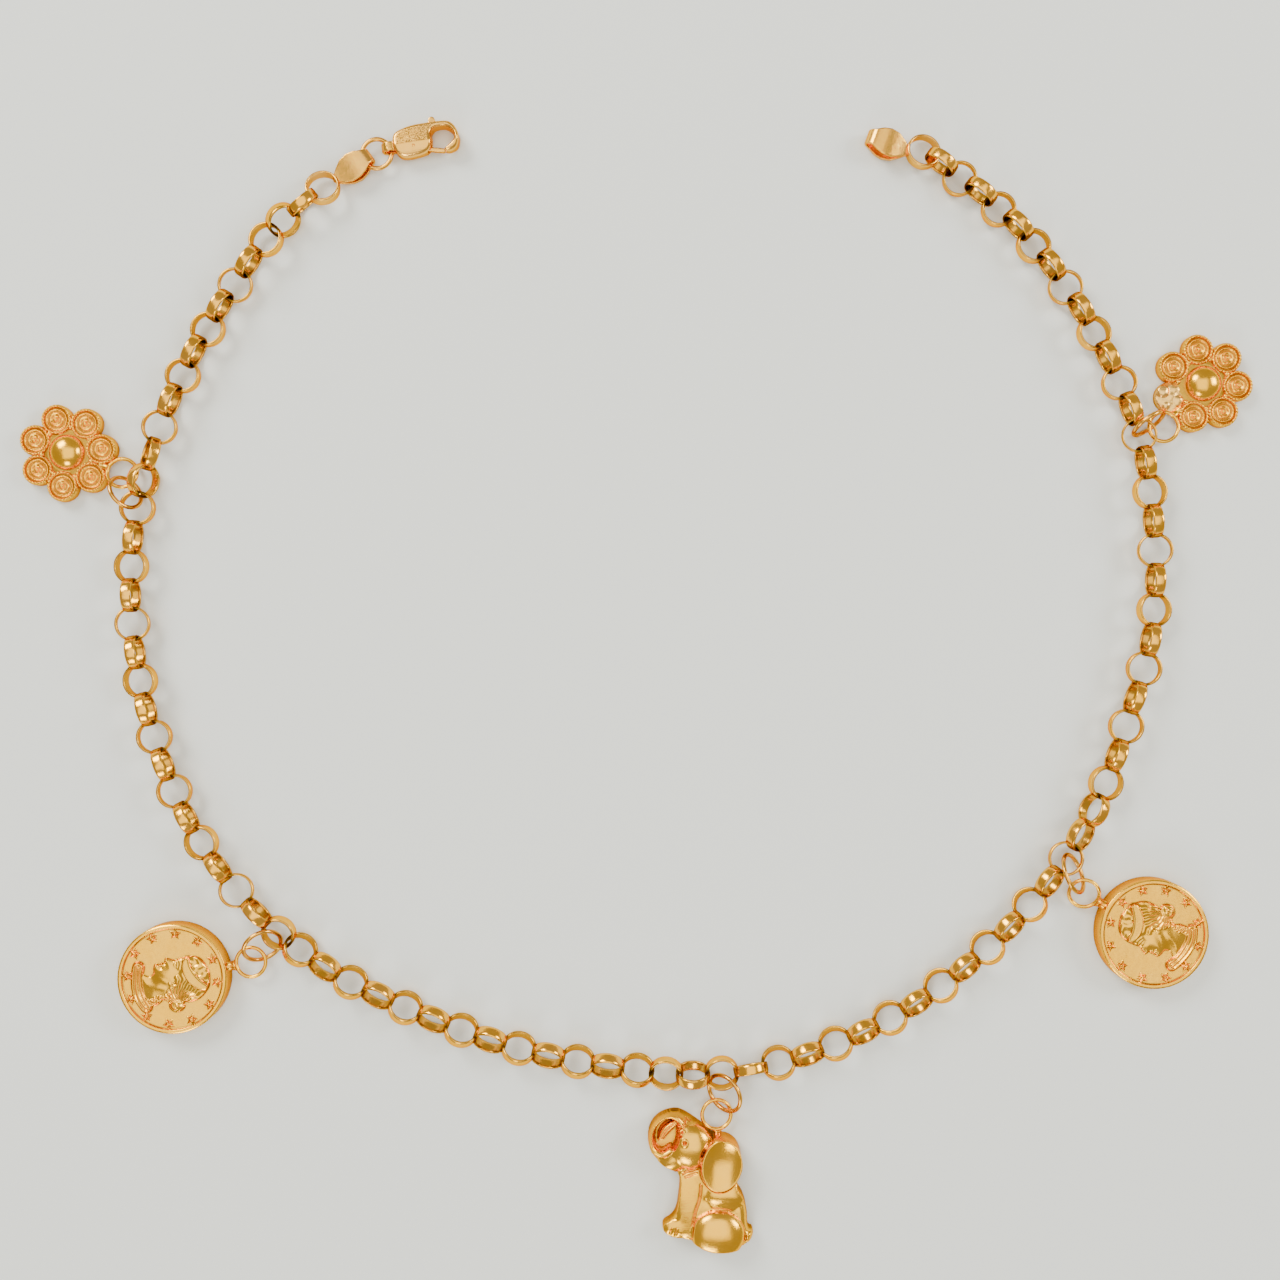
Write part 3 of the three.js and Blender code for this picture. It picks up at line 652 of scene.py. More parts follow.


# Painted shade on a charm's wall: how dark it is at its foot, and the shares of its height between which it
# clears
WALL_FOOT_SHADE = 0.48
WALL_CLEARS = (0.3, 0.95)


def wall_shade(height: Array, thick: float) -> Array:
    """Paint shade on a charm's side wall, darker towards the table.

    Args:
        height: Heights of the wall's points.
        thick: Height where the wall ends.

    Returns:
        A shade that falls from the foot to the top edge.
    """
    start, end = WALL_CLEARS
    return WALL_FOOT_SHADE * (1 - smooth_step(height, start * thick, end * thick))


def cavity(height: Array, reach: int, strength: float) -> Array:
    """Find the recesses of a relief, which get painted shade.

    Args:
        height: The relief's heights, in millimetres.
        reach: How many samples round each place are averaged.
        strength: How fast a recess darkens.

    Returns:
        How far each place lies under the average round it, times the strength, from 0 to 1.
    """
    mean = height
    for axis in (0, 1):
        sums = sum(np.roll(mean, shift, axis) for shift in range(-reach, reach + 1))
        mean = sums / (2 * reach + 1)
    return np.clip((mean - height) * strength, 0, 1)


def plate_distance(flat: Array, height: Array, half: Array | float, rounding: float) -> Array:
    """Raise a flat outline to a plate with rounded edges.

    Args:
        flat: Distances to the outline.
        height: Distances from the plate's mid-plane.
        half: Half the plate's thickness.
        rounding: Radius of its edges.

    Returns:
        Distances to the plate.
    """
    side = flat + rounding
    face = np.abs(height) - half + rounding
    outside = np.hypot(np.maximum(side, 0), np.maximum(face, 0))
    return np.minimum(np.maximum(side, face), 0) + outside - rounding


# Finishes


class Signal:
    """A shader socket that can be written in sums and products."""

    def __init__(self, tree: bpy.types.NodeTree, socket: bpy.types.NodeSocket) -> None:
        self.tree = tree
        self.socket = socket

    def _math(self, operation: str, first: "Signal | float", second: "Signal | float") -> "Signal":
        """Join two values by one node."""
        node = self.tree.nodes.new("ShaderNodeMath")
        node.operation = operation
        for slot, value in zip(node.inputs, (first, second)):
            if isinstance(value, Signal):
                self.tree.links.new(value.socket, slot)
            else:
                slot.default_value = value
        return Signal(self.tree, node.outputs[0])

    def __add__(self, other: "Signal | float") -> "Signal":
        return self._math("ADD", self, other)

    def __radd__(self, other: float) -> "Signal":
        return self._math("ADD", other, self)

    def __sub__(self, other: "Signal | float") -> "Signal":
        return self._math("SUBTRACT", self, other)

    def __rsub__(self, other: float) -> "Signal":
        return self._math("SUBTRACT", other, self)

    def __mul__(self, other: "Signal | float") -> "Signal":
        return self._math("MULTIPLY", self, other)

    def __rmul__(self, other: float) -> "Signal":
        return self._math("MULTIPLY", other, self)

    def clamp(self) -> "Signal":
        """Keep the value between 0 and 1."""
        low = self._math("MAXIMUM", self, 0.0)
        return low._math("MINIMUM", low, 1.0)


Colour = tuple[float, float, float]


@dataclass(frozen=True)
class GoldFinish:
    """A gold surface: its colours and how it was worked."""

    name: str
    colour: Colour
    # The darker colour mixed in for painted shade and for tarnish
    deep: Colour
    pale: Colour
    roughness: float
    rough_change: float
    scratch: float
    dent: float
    peel: float
    tarnish: float


CHARM_GOLD = GoldFinish("charm_gold", (1.0, 0.515, 0.02), (0.15, 0.085, 0.008), (1.0, 0.56, 0.06), 0.2, 0.1,
                        0.4, 0.35, 0.35, 0.2)
CHAIN_GOLD = GoldFinish("chain_gold", (0.97, 0.49, 0.035), (0.13, 0.07, 0.006), (1.0, 0.54, 0.1), 0.16, 0.1,
                        0.35, 0.3, 0.3, 0.2)
RING_GOLD = GoldFinish("ring_gold", (0.8, 0.39, 0.04), (0.26, 0.12, 0.012), (0.88, 0.46, 0.08), 0.18, 0.1,
                       0.4, 0.4, 0.4, 0.2)
CLASP_GOLD = GoldFinish("clasp_gold", (0.92, 0.48, 0.06), (0.32, 0.15, 0.02), (0.97, 0.54, 0.13), 0.18, 0.1,
                        0.6, 0.3, 0.3, 0.2)
SOLDER_GOLD = GoldFinish("charm_solder", (0.96, 0.56, 0.11), (0.42, 0.22, 0.03), (0.97, 0.62, 0.2), 0.26,
                         0.12, 0.4, 0.8, 0.8, 0.3)


class MaterialMaker:
    """Builds the node materials."""

    # Scale and detail of each noise
    BROAD = (420.0, 3.0)
    FINE = (2600.0, 4.0)
    SCRATCHES = (1500.0, 5.0)
    DENTS = (900.0, 1.0)
    GRAIN = 0.55
    SCRATCH_STRETCH = (1.0, 14.0, 3.0)
    BUMP_DEPTH = 0.00004
    RECESS_ROUGH = 0.15
    PAPER = (0.835, 0.885, 0.86, 1.0)
    PAPER_ROUGH = 0.75
    PAPER_GLOSS = 0.25

    def __init__(self) -> None:
        self.made: dict[str, bpy.types.Material] = {}

    @staticmethod
    def _node(tree: bpy.types.NodeTree, kind: str, **values: object) -> bpy.types.Node:
        """Add a node and set its inputs or properties by name."""
        node = tree.nodes.new(kind)
        for key, value in values.items():
            if key in node.inputs:
                node.inputs[key].default_value = value
            else:
                setattr(node, key, value)
        return node

    def _noise(self, tree: bpy.types.NodeTree, vector: bpy.types.NodeSocket, scale: float,
               detail: float) -> Signal:
        """Add a noise read at a place."""
        node = self._node(tree, "ShaderNodeTexNoise", Scale=scale, Detail=detail, Roughness=self.GRAIN)
        tree.links.new(vector, node.inputs["Vector"])
        return Signal(tree, node.outputs["Fac"])

    def _mix(self, tree: bpy.types.NodeTree, factor: Signal, first: object,
             second: object) -> bpy.types.NodeSocket:
        """Mix two colours, each a socket or three numbers."""
        node = self._node(tree, "ShaderNodeMix", data_type="RGBA")
        tree.links.new(factor.socket, node.inputs[0])
        for slot, value in ((node.inputs[6], first), (node.inputs[7], second)):
            if isinstance(value, bpy.types.NodeSocket):
                tree.links.new(value, slot)
            else:
                slot.default_value = (*value, 1.0)
        return node.outputs[2]

    def gold(self, finish: GoldFinish) -> bpy.types.Material:
        """Make a gold surface, with painted shade in its recesses, fine scratches and small dents.

        Args:
            finish: Its colours and working.

        Returns:
            The material, made once for each finish.
        """
        if finish.name in self.made:
            return self.made[finish.name]
        material = bpy.data.materials.new(finish.name)
        material.use_nodes = True
        tree = material.node_tree
        surface = tree.nodes["Principled BSDF"]
        place = self._node(tree, "ShaderNodeTexCoord").outputs["Object"]
        stretch = self._node(tree, "ShaderNodeVectorMath", operation="MULTIPLY")
        stretch.inputs[1].default_value = self.SCRATCH_STRETCH
        tree.links.new(place, stretch.inputs[0])
        # The shade attribute is painted shade: recesses, meeting links and walls near the table darken
        # towards the deep colour
        recess = self._node(tree, "ShaderNodeAttribute", attribute_name="shade")
        depth = Signal(tree, recess.outputs["Fac"])
        broad = self._noise(tree, place, *self.BROAD)
        fine = self._noise(tree, place, *self.FINE)
        scratches = self._noise(tree, stretch.outputs[0], *self.SCRATCHES)
        cloud = ((broad - 0.35) * 1.6 + (fine - 0.5) * 0.8).clamp()
        tone = self._mix(tree, cloud, finish.colour, finish.pale)
        # Painted shade from the attribute and tarnish from broad noise, as one mix factor
        shade_and_tarnish = (depth * (0.75 + fine * 0.5) + (broad - 0.62) * finish.tarnish).clamp()
        colour = self._mix(tree, shade_and_tarnish, tone, finish.deep)
        tree.links.new(colour, surface.inputs["Base Color"])
        rough = ((scratches - 0.5) * finish.rough_change * 2 + finish.roughness + depth * self.RECESS_ROUGH
                 + (fine - 0.5) * finish.rough_change).clamp()
        tree.links.new(rough.socket, surface.inputs["Roughness"])
        surface.inputs["Metallic"].default_value = 1.0
        surface.inputs["Specular Tint"].default_value = (*finish.colour, 1.0)
        height = (scratches * finish.scratch * 0.35 + fine * finish.peel * 0.5
                  + self._noise(tree, place, *self.DENTS) * finish.dent)
        bump = self._node(tree, "ShaderNodeBump", Strength=1.0, Distance=self.BUMP_DEPTH)
        tree.links.new(height.socket, bump.inputs["Height"])
        tree.links.new(bump.outputs["Normal"], surface.inputs["Normal"])
        self.made[finish.name] = material
        return material

    def paper(self) -> bpy.types.Material:
        """Make the pale table's surface.

        Returns:
            The material.
        """
        material = bpy.data.materials.new("table_paper")
        material.use_nodes = True
        surface = material.node_tree.nodes["Principled BSDF"]
        surface.inputs["Base Color"].default_value = self.PAPER
        surface.inputs["Roughness"].default_value = self.PAPER_ROUGH
        surface.inputs["Specular IOR Level"].default_value = self.PAPER_GLOSS
        return material


MATERIALS = MaterialMaker()


class Body(Enum):
    """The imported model's bodies."""

    ANKLET = "anklet"
    LEVER = "lever"


def finish_piece(builder: MeshBuilder, node: str, finish: GoldFinish, body: Body = Body.ANKLET) -> None:
    """Write a piece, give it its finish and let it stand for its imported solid.

    Args:
        builder: The piece's gathered mesh.
        node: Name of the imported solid.
        finish: Its finish, named as the record's slot.
        body: The body that it rides on.
    """
    piece = builder.build(f"{node}_fine")
    piece.data.materials.append(MATERIALS.gold(finish))
    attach(piece, body.value)
    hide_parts(node)


# Chain


@dataclass
class Link:
    """One link as it lies: its middle, its direction along the chain and the axis of its ring."""

    place: Array
    roll: float
    tangent: Array
    ahead: Array
    axis: Array


class Chain:
    """The belcher chain, laid along its route so that neighbouring links touch once."""

    # Section of the domed band from its inner edge round: share of the wall, share of the half width
    SECTION = [
        (0.0, -0.88), (0.0, -0.4), (0.0, 0.0), (0.0, 0.4), (0.0, 0.88), (0.12, 0.98), (0.4, 1.0),
        (0.7, 0.98), (0.92, 0.82), (1.0, 0.45), (1.0, 0.0), (1.0, -0.45), (0.92, -0.82), (0.7, -0.98),
        (0.4, -1.0), (0.12, -0.98),
    ]
    # Samples of the route between two of its points
    ROUTE_STEPS = 60
    # A link whose roll has a smaller sine than this lies flat
    FLAT_SINE = 0.5
    # How oval the links are, and how that and their sway change from link to link
    OVAL = 0.008
    OVAL_PHASE = 2.4
    SWAY_PHASE = 1.9
    # Painted shade where links meet, along the inside and along both edges
    MEETING_SHADE = 0.95
    MEETING_SINES = (0.8, 0.98)
    INSIDE_SHADE = 0.28
    EDGE_SHADE = 0.4
    EDGE_FROM = 0.97

    def __init__(self, size: ChainSize) -> None:
        self.size = size
        corner = 1 / math.cos(math.pi / size.flats)
        shoulder = (size.inner + size.shoulder * size.wall) * corner
        self.outline = [
            (size.inner * corner, size.width / 2), (shoulder, size.width / 2),
            ((size.inner + size.wall) * corner, 0.0),
        ]
        self.links = self._lay()

    def _standing(self, roll: float) -> float:
        """Give the height of a rolled link's middle when its lowest corner is on the table."""
        angle = math.radians(roll)
        sine, cosine = abs(math.sin(angle)), math.cos(angle)
        return max(radius * sine + abs(along * cosine) for radius, along in self.outline)

    def _lies_flat(self, roll: float) -> bool:
        """Tell whether a rolled link lies flat rather than on its edge."""
        return abs(math.sin(math.radians(roll))) < self.FLAT_SINE

    def _half_fill(self, roll: float) -> float:
        """Give half of the width that a link fills inside its neighbour."""
        bent = min(roll % 180, 180 - roll % 180)
        return self.size.width / 2 / math.tan(math.radians(bent) / 2)

    def _pitch(self, roll: float) -> float:
        """Give the longest distance between two links rolled against each other."""
        reach = self.size.inner
        for i in range(1, math.ceil(self.size.flats / 4)):
            angle = TURN * i / self.size.flats
            reach = min(reach, (self.size.inner - self._half_fill(roll) * math.sin(angle)) / math.cos(angle))
        return self.size.inner + reach + self.size.bite

    def _sag(self, pitch: float, roll: float) -> float:
        """Give how far a flat link hangs below the middle of the upright one that it rests in."""
        if pitch >= self._pitch(roll):
            return 0.0
        inside = pitch - self.size.inner
        angles = [TURN * i / self.size.flats for i in range(1, int(self.size.flats / 4) + 2)]
        lowest = min((self.size.inner - inside * math.cos(angle)) / math.sin(angle) for angle in angles)
        return lowest - self._half_fill(roll) + self.size.bite

    def _lay(self) -> list[Link]:
        """Lay all links along the route."""
        size = self.size
        rests, pitches = [], []
        for link in range(1, size.count):
            between = table_at(ROLL, link + 1) - table_at(ROLL, link)
            rests.append(self._pitch(between) * table_at(SLACK, link + 0.5))
            apart = link in (1, size.middle, size.count - 1)
            pitches.append(rests[-1] - (size.bite + size.piece_gap if apart else 0))
        curve = smooth_curve(ROUTE, self.ROUTE_STEPS, closed=False)
        lengths = np.concatenate([[0], np.cumsum(np.linalg.norm(np.diff(curve, axis=0), axis=1))])
        distances = np.concatenate([[0], np.cumsum(pitches)])
        stretch = distances[-1] / lengths[-1]
        tangents = unit(np.gradient(curve, axis=0))
        links = []
        for number, distance in enumerate(distances / stretch, start=1):
            x, y = (np.interp(distance, lengths, curve[:, axis]) * stretch for axis in (0, 1))
            tangent = np.array([np.interp(distance, lengths, tangents[:, axis]) for axis in (0, 1)] + [0.0])
            roll = table_at(ROLL, number)
            links.append(Link(np.array([x, y, self._standing(roll)]), roll, unit(tangent), UP, UP))
        for i, link in enumerate(links):
            slope = 0.0
            if self._lies_flat(link.roll):
                ends = []
                for other, rest in ((i - 1, i - 1), (i + 1, i)):
                    if 0 <= other < size.count:
                        roll = abs(links[other].roll - link.roll)
                        ends.append(links[other].place[2] - self._sag(rests[rest], roll))
                    else:
                        ends.append(SEAT_HEIGHT)
                link.place[2] = sum(ends) / 2
                slope = (ends[1] - ends[0]) / (2 * size.inner)
            link.ahead = unit(link.tangent + UP * slope)
            level = unit(np.cross(UP, link.ahead))
            link.axis = turned(np.cross(link.ahead, level), link.ahead, link.roll)
        return links

    def link_grid(self, number: int) -> Array:
        """Sweep the band of one link.

        Args:
            number: The link, from 1.

        Returns:
            Places over the steps round the link and its section.
        """
        link = self.links[number - 1]
        size = self.size
        section = np.array([
            (size.round_inner + (wall - size.fullness * (wall < 0.5)) * size.wall,
             width * size.width / 2 * size.breadth) for wall, width in self.SECTION])
        oval = self.OVAL * math.sin(self.OVAL_PHASE * number)
        ring = band_grid(section, size.steps, oval)
        sway = size.sway * math.sin(self.SWAY_PHASE * number) * self._lies_flat(link.roll)
        axis = turned(link.axis, link.ahead, sway)
        grid = ring @ basis(link.ahead, axis, np.cross(link.ahead, axis)) + link.place
        grid[..., 2] += max(0.0, -grid[..., 2].min())
        return grid

    def build(self) -> None:
        """Write the two runs of links, with painted shade inside, along the edges and where links meet."""
        around = np.linspace(0, TURN, self.size.steps, endpoint=False)
        meeting = self.MEETING_SHADE * smooth_step(np.abs(np.sin(around)), *self.MEETING_SINES)
        across = np.array([
            self.INSIDE_SHADE * (wall == 0) + self.EDGE_SHADE * (abs(width) > self.EDGE_FROM)
            for wall, width in self.SECTION])
        shade = np.clip(meeting[:, None] + across, 0, 1)
        middle = self.size.middle
        runs = (("chain_left", 2, middle), ("chain_right", middle + 1, self.size.count - 1))
        for node, first, last in runs:
            builder = MeshBuilder()
            for number in range(first, last + 1):
                builder.add_grid(self.link_grid(number), True, True, shade)
            finish_piece(builder, node, CHAIN_GOLD)


def wire_ring(outer: float, wire: float, centre: Array, along_angle: float, lean: float) -> Array:
    """Sweep a wire ring that leans about a level line.

    Args:
        outer: Outer diameter of the ring.
        wire: Diameter of its wire.
        centre: Its middle.
        along_angle: Direction of the line that it leans about.
        lean: How far it leans from lying flat, in degrees.

    Returns:
        Places over the steps round the ring and its wire.
    """
    along = heading(along_angle)
    axis = turned(UP, along, lean)
    ring = band_grid(wire_section((outer - wire) / 2, wire * RINGS.drawn_share, RINGS.corners), RINGS.steps)
    return ring @ basis(along, axis, np.cross(along, axis)) + centre


# End tags and clasp


def net_piece(builder: MeshBuilder, field: Callable[..., Array], low: Sequence[float],
              high: Sequence[float], step: float, axes: Array, origin: Array,
              shade: Optional[Callable[..., Array]] = None) -> None:
    """Add the surface of a distance field, turned and moved to its place.

    Args:
        builder: Where the mesh is gathered.
        field: Distances from the local X, Y and Z coordinates.
        low: Lowest corner of the box that holds the surface.
        high: Its highest corner.
        step: Distance between samples.
        axes: Where local X, Y and Z point.
        origin: Where the local origin lies.
        shade: Painted shade, mostly recess depth, from the local coordinates.
    """
    spans = [np.arange(start, end + step, step, dtype=np.float32) for start, end in zip(low, high)]
    place = np.meshgrid(*spans, indexing="ij")
    points, quads = surface_net(field(*place), np.array(low, dtype=float), step)
    depth = 0.0 if shade is None else shade(*points.T)
    builder.add(points @ axes + origin, quads, depth)


class EndTag:
    """A leaf of sheet folded back on itself round a loop and soldered at its tip to a link."""

    # Half width of the leaf along its length, as shares
    LEAF = [(0.0, 0.34), (0.12, 0.62), (0.3, 0.93), (0.5, 1.0), (0.68, 0.86), (0.85, 0.58), (1.0, 0.52)]
    # How the two layers part from the tip to the fold, and the width of the fold as a share
    PARTING = (-0.25, 0.9)
    FOLD_WIDTH = 0.58
    EDGE = 0.08
    STEP = 0.045
    MARGIN = 0.2
    # Half sizes of the solder at the tip, and its shade
    SOLDER = (0.36, 0.3)
    SOLDER_SHADE = 0.35

    def __init__(self, chain: Chain, number: int, out_angle: float, tag_angle: float, loop: float) -> None:
        self.chain = chain
        self.number = number
        self.loop = loop
        self.ahead = heading(tag_angle)
        reach = CHAIN.inner + CHAIN.wall - CHAIN.bite
        self.tip = chain.links[number - 1].place + heading(out_angle) * reach
        self.tip[2] = SEAT_HEIGHT
        fold = self.FOLD_WIDTH * TAG.width
        radius = RINGS.clasp_outer / 2
        rise = radius - math.sqrt(radius ** 2 - (fold / 2) ** 2)
        self.seat = self.tip + self.ahead * (
            TAG.length - TAG.sheet - RINGS.clasp_wire / 2 - TAG.seat_clearance - rise)

    def _field(self, x: Array, y: Array, z: Array) -> Array:
        """Measure the folded leaf from its side profile and its outline."""
        bend = self.loop + TAG.sheet / 2
        fold_at = TAG.length - self.loop - TAG.sheet
        start = TAG.sheet / 2
        way = np.linspace(0, 1, 12)
        parting = smooth_step(way, *self.PARTING)
        lower = [(fold_at * w, -(start + (bend - start) * s)) for w, s in zip(way, parting)]
        arc = np.radians(np.linspace(-90, 90, 13))[1:-1]
        bow = [(fold_at + bend * math.cos(a), bend * math.sin(a)) for a in arc]
        upper = [(px, -pz) for px, pz in reversed(lower)]
        profile = np.array(lower + bow + upper)
        side, _ = segment_distance(x, z, profile, closed=False)
        rows = np.array(self.LEAF)
        half = np.interp(x / TAG.length, rows[:, 0], rows[:, 1]) * TAG.width / 2
        return plate_distance(side - TAG.sheet / 2, y, half, self.EDGE)

    def build(self, node: str) -> None:
        """Write the tag with its soldered link.

        Args:
            node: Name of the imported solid.
        """
        builder = MeshBuilder()
        axes = basis(self.ahead, np.cross(UP, self.ahead), UP)
        reach = self.loop + TAG.sheet + 0.15
        side = TAG.width / 2 + self.MARGIN
        low = (-0.3, -side, -reach)
        high = (TAG.length + self.MARGIN, side, reach)
        net_piece(builder, self._field, low, high, self.STEP, axes, self.tip)
        builder.add_grid(self.chain.link_grid(self.number), True, True)
        wide, tall = self.SOLDER
        arc = np.linspace(-math.pi / 2, math.pi / 2, 9)
        solder = lathe_grid(np.array([(wide * math.cos(a), tall * math.sin(a)) for a in arc]), 20)
        builder.add_grid(solder @ axes + self.tip, False, True, self.SOLDER_SHADE)
        finish_piece(builder, node, CLASP_GOLD)


class LobsterClasp:
    """The clasp: a beaked body with a slot, its lever, rivet, thumb knob and tail loop."""

    # Outline as shares of length and width, from the tail round the hook and back
    OUTLINE = [
        (0.07, -0.12), (0.17, -0.4), (0.36, -0.43), (0.52, -0.36), (0.59, -0.2), (0.615, 0.05),
        (0.62, 0.23), (0.69, 0.36), (0.83, 0.345), (0.925, 0.15), (0.93, -0.08), (0.83, -0.24),
        (0.775, -0.31), (0.785, -0.4), (0.865, -0.43), (0.955, -0.33), (1.0, -0.1), (1.0, 0.13),
        (0.945, 0.4), (0.845, 0.53), (0.59, 0.56), (0.3, 0.53), (0.09, 0.34),
    ]
    RIVET = (0.35, -0.12)
    GATE_TIP = (0.755, -0.35)
    KNOB = (0.65, 0.65)
    STEP = 0.045
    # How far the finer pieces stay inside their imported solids
    SKIN = 0.012
    # Where the faces start to slope, as a share of the width
    RIDGE = 0.02
    # Degrees that the slot reaches past the open lever
    SLOT_SPARE = 5
    RIVET_DEPTH = 0.12
    RIVET_CLEARANCE = 0.06
    # Radius of the dimple over the rivet, and its floor as a share of half the thickness
    DIMPLE = 0.1
    DIMPLE_FLOOR = 0.82
    LOOP_EDGE = 0.1
    LOOP_FILLET = 0.12
    LEVER_EDGE = 0.07

    def __init__(self, tail: Array, azimuth: float) -> None:
        ahead = heading(azimuth)
        self.axes = basis(ahead, np.cross(UP, ahead), UP)
        self.tail = tail
        self.outline = smooth_curve([self._spot(point) for point in self.OUTLINE], 5, closed=True)

    @staticmethod
    def _spot(point: Sequence[float]) -> Array:
        """Turn shares of the clasp into millimetres."""
        return np.array([point[0] * CLASP.length, point[1] * CLASP.width])

    def _bar(self, x: Array, y: Array, end: Array, half: float) -> Array:
        """Measure a bar of the lever from the rivet to an end."""
        distance, _ = segment_distance(x, y, np.array([self._spot(self.RIVET), end]), closed=False)
        return distance - half

    def _lever_flat(self, x: Array, y: Array, grow: float, opened: float) -> Array:
        """Measure the lever's outline, grown by a clearance and opened by an angle."""
        rivet = self._spot(self.RIVET)
        angle = math.radians(opened)
        swing = np.array([[math.cos(angle), math.sin(angle)], [-math.sin(angle), math.cos(angle)]])
        gate, knob = ((self._spot(point) - rivet) @ swing + rivet for point in (self.GATE_TIP, self.KNOB))
        flat = np.hypot(x - rivet[0], y - rivet[1]) - CLASP.lever_eye - grow
        flat = np.minimum(flat, self._bar(x, y, gate, CLASP.lever_arm / 2 + grow))
        flat = np.minimum(flat, self._bar(x, y, knob, CLASP.lever_arm / 2 + grow))
        return np.minimum(flat, np.hypot(x - knob[0], y - knob[1]) - CLASP.lever_knob - grow)

    def _body(self, x: Array, y: Array, z: Array) -> Array:
        """Measure the body with its slot, rivet and tail loop."""
        flat = outline_distance(x[:, :, 0], y[:, :, 0], self.outline)[:, :, None] + self.SKIN
        slope = np.clip((-self.RIDGE * CLASP.width - y) / (0.43 * CLASP.width), 0, 1)
        upper = np.clip((y + self.RIDGE * CLASP.width) / (0.5 * CLASP.width), 0, 1)
        half = CLASP.thick / 2 * (1 - 0.5 * slope ** 1.6 - 0.2 * upper)
        body = plate_distance(flat, z, half, CLASP.round_edge)
        slot = np.full(x.shape[:2], np.inf)
        for opened in np.linspace(0, CLASP.lever_travel + self.SLOT_SPARE, 5):
            lever = self._lever_flat(x[:, :, 0], y[:, :, 0], CLASP.lever_clearance, opened)
            slot = np.minimum(slot, lever)
        slot = np.maximum(slot[:, :, None], np.abs(z) - CLASP.lever_thick / 2 - CLASP.lever_clearance)
        body = np.maximum(body, -slot)
        rivet = self._spot(self.RIVET)
        dot = np.hypot(x - rivet[0], y - rivet[1])
        bar = np.maximum(dot - CLASP.rivet, np.abs(z) - CLASP.thick / 2 + self.RIVET_DEPTH)
        dimple = np.maximum(dot - self.DIMPLE, CLASP.thick / 2 * self.DIMPLE_FLOOR - np.abs(z))
        body = np.maximum(body, -dimple)
        middle = CLASP.tail_hole + CLASP.tail_wall / 2
        wall = np.abs(np.hypot(x, z) - middle) - CLASP.tail_wall / 2
        loop = plate_distance(wall, y, CLASP.tail_width / 2, self.LOOP_EDGE)
        return blend_in(np.minimum(body, bar), loop, self.LOOP_FILLET)

    def _lever(self, x: Array, y: Array, z: Array) -> Array:
        """Measure the lever, with its hole on the rivet."""
        flat = self._lever_flat(x[:, :, 0], y[:, :, 0], -self.SKIN, 0.0)
        rivet = self._spot(self.RIVET)
        hole = CLASP.rivet + self.RIVET_CLEARANCE - np.hypot(x[:, :, 0] - rivet[0], y[:, :, 0] - rivet[1])
        return plate_distance(np.maximum(flat, hole)[:, :, None], z, CLASP.lever_thick / 2, self.LEVER_EDGE)

    def build(self) -> None:
        """Write the clasp's body and its lever."""
        low = (-0.95, -0.52 * CLASP.width, -CLASP.thick / 2 - 0.1)
        high = (CLASP.length + 0.15, 0.8 * CLASP.width, CLASP.thick / 2 + 0.1)
        parts = (("clasp_body", self._body, Body.ANKLET), ("clasp_lever", self._lever, Body.LEVER))
        for node, field, body in parts:
            builder = MeshBuilder()
            net_piece(builder, field, low, high, self.STEP, self.axes, self.tail)
            finish_piece(builder, node, CLASP_GOLD, body)


# Charms


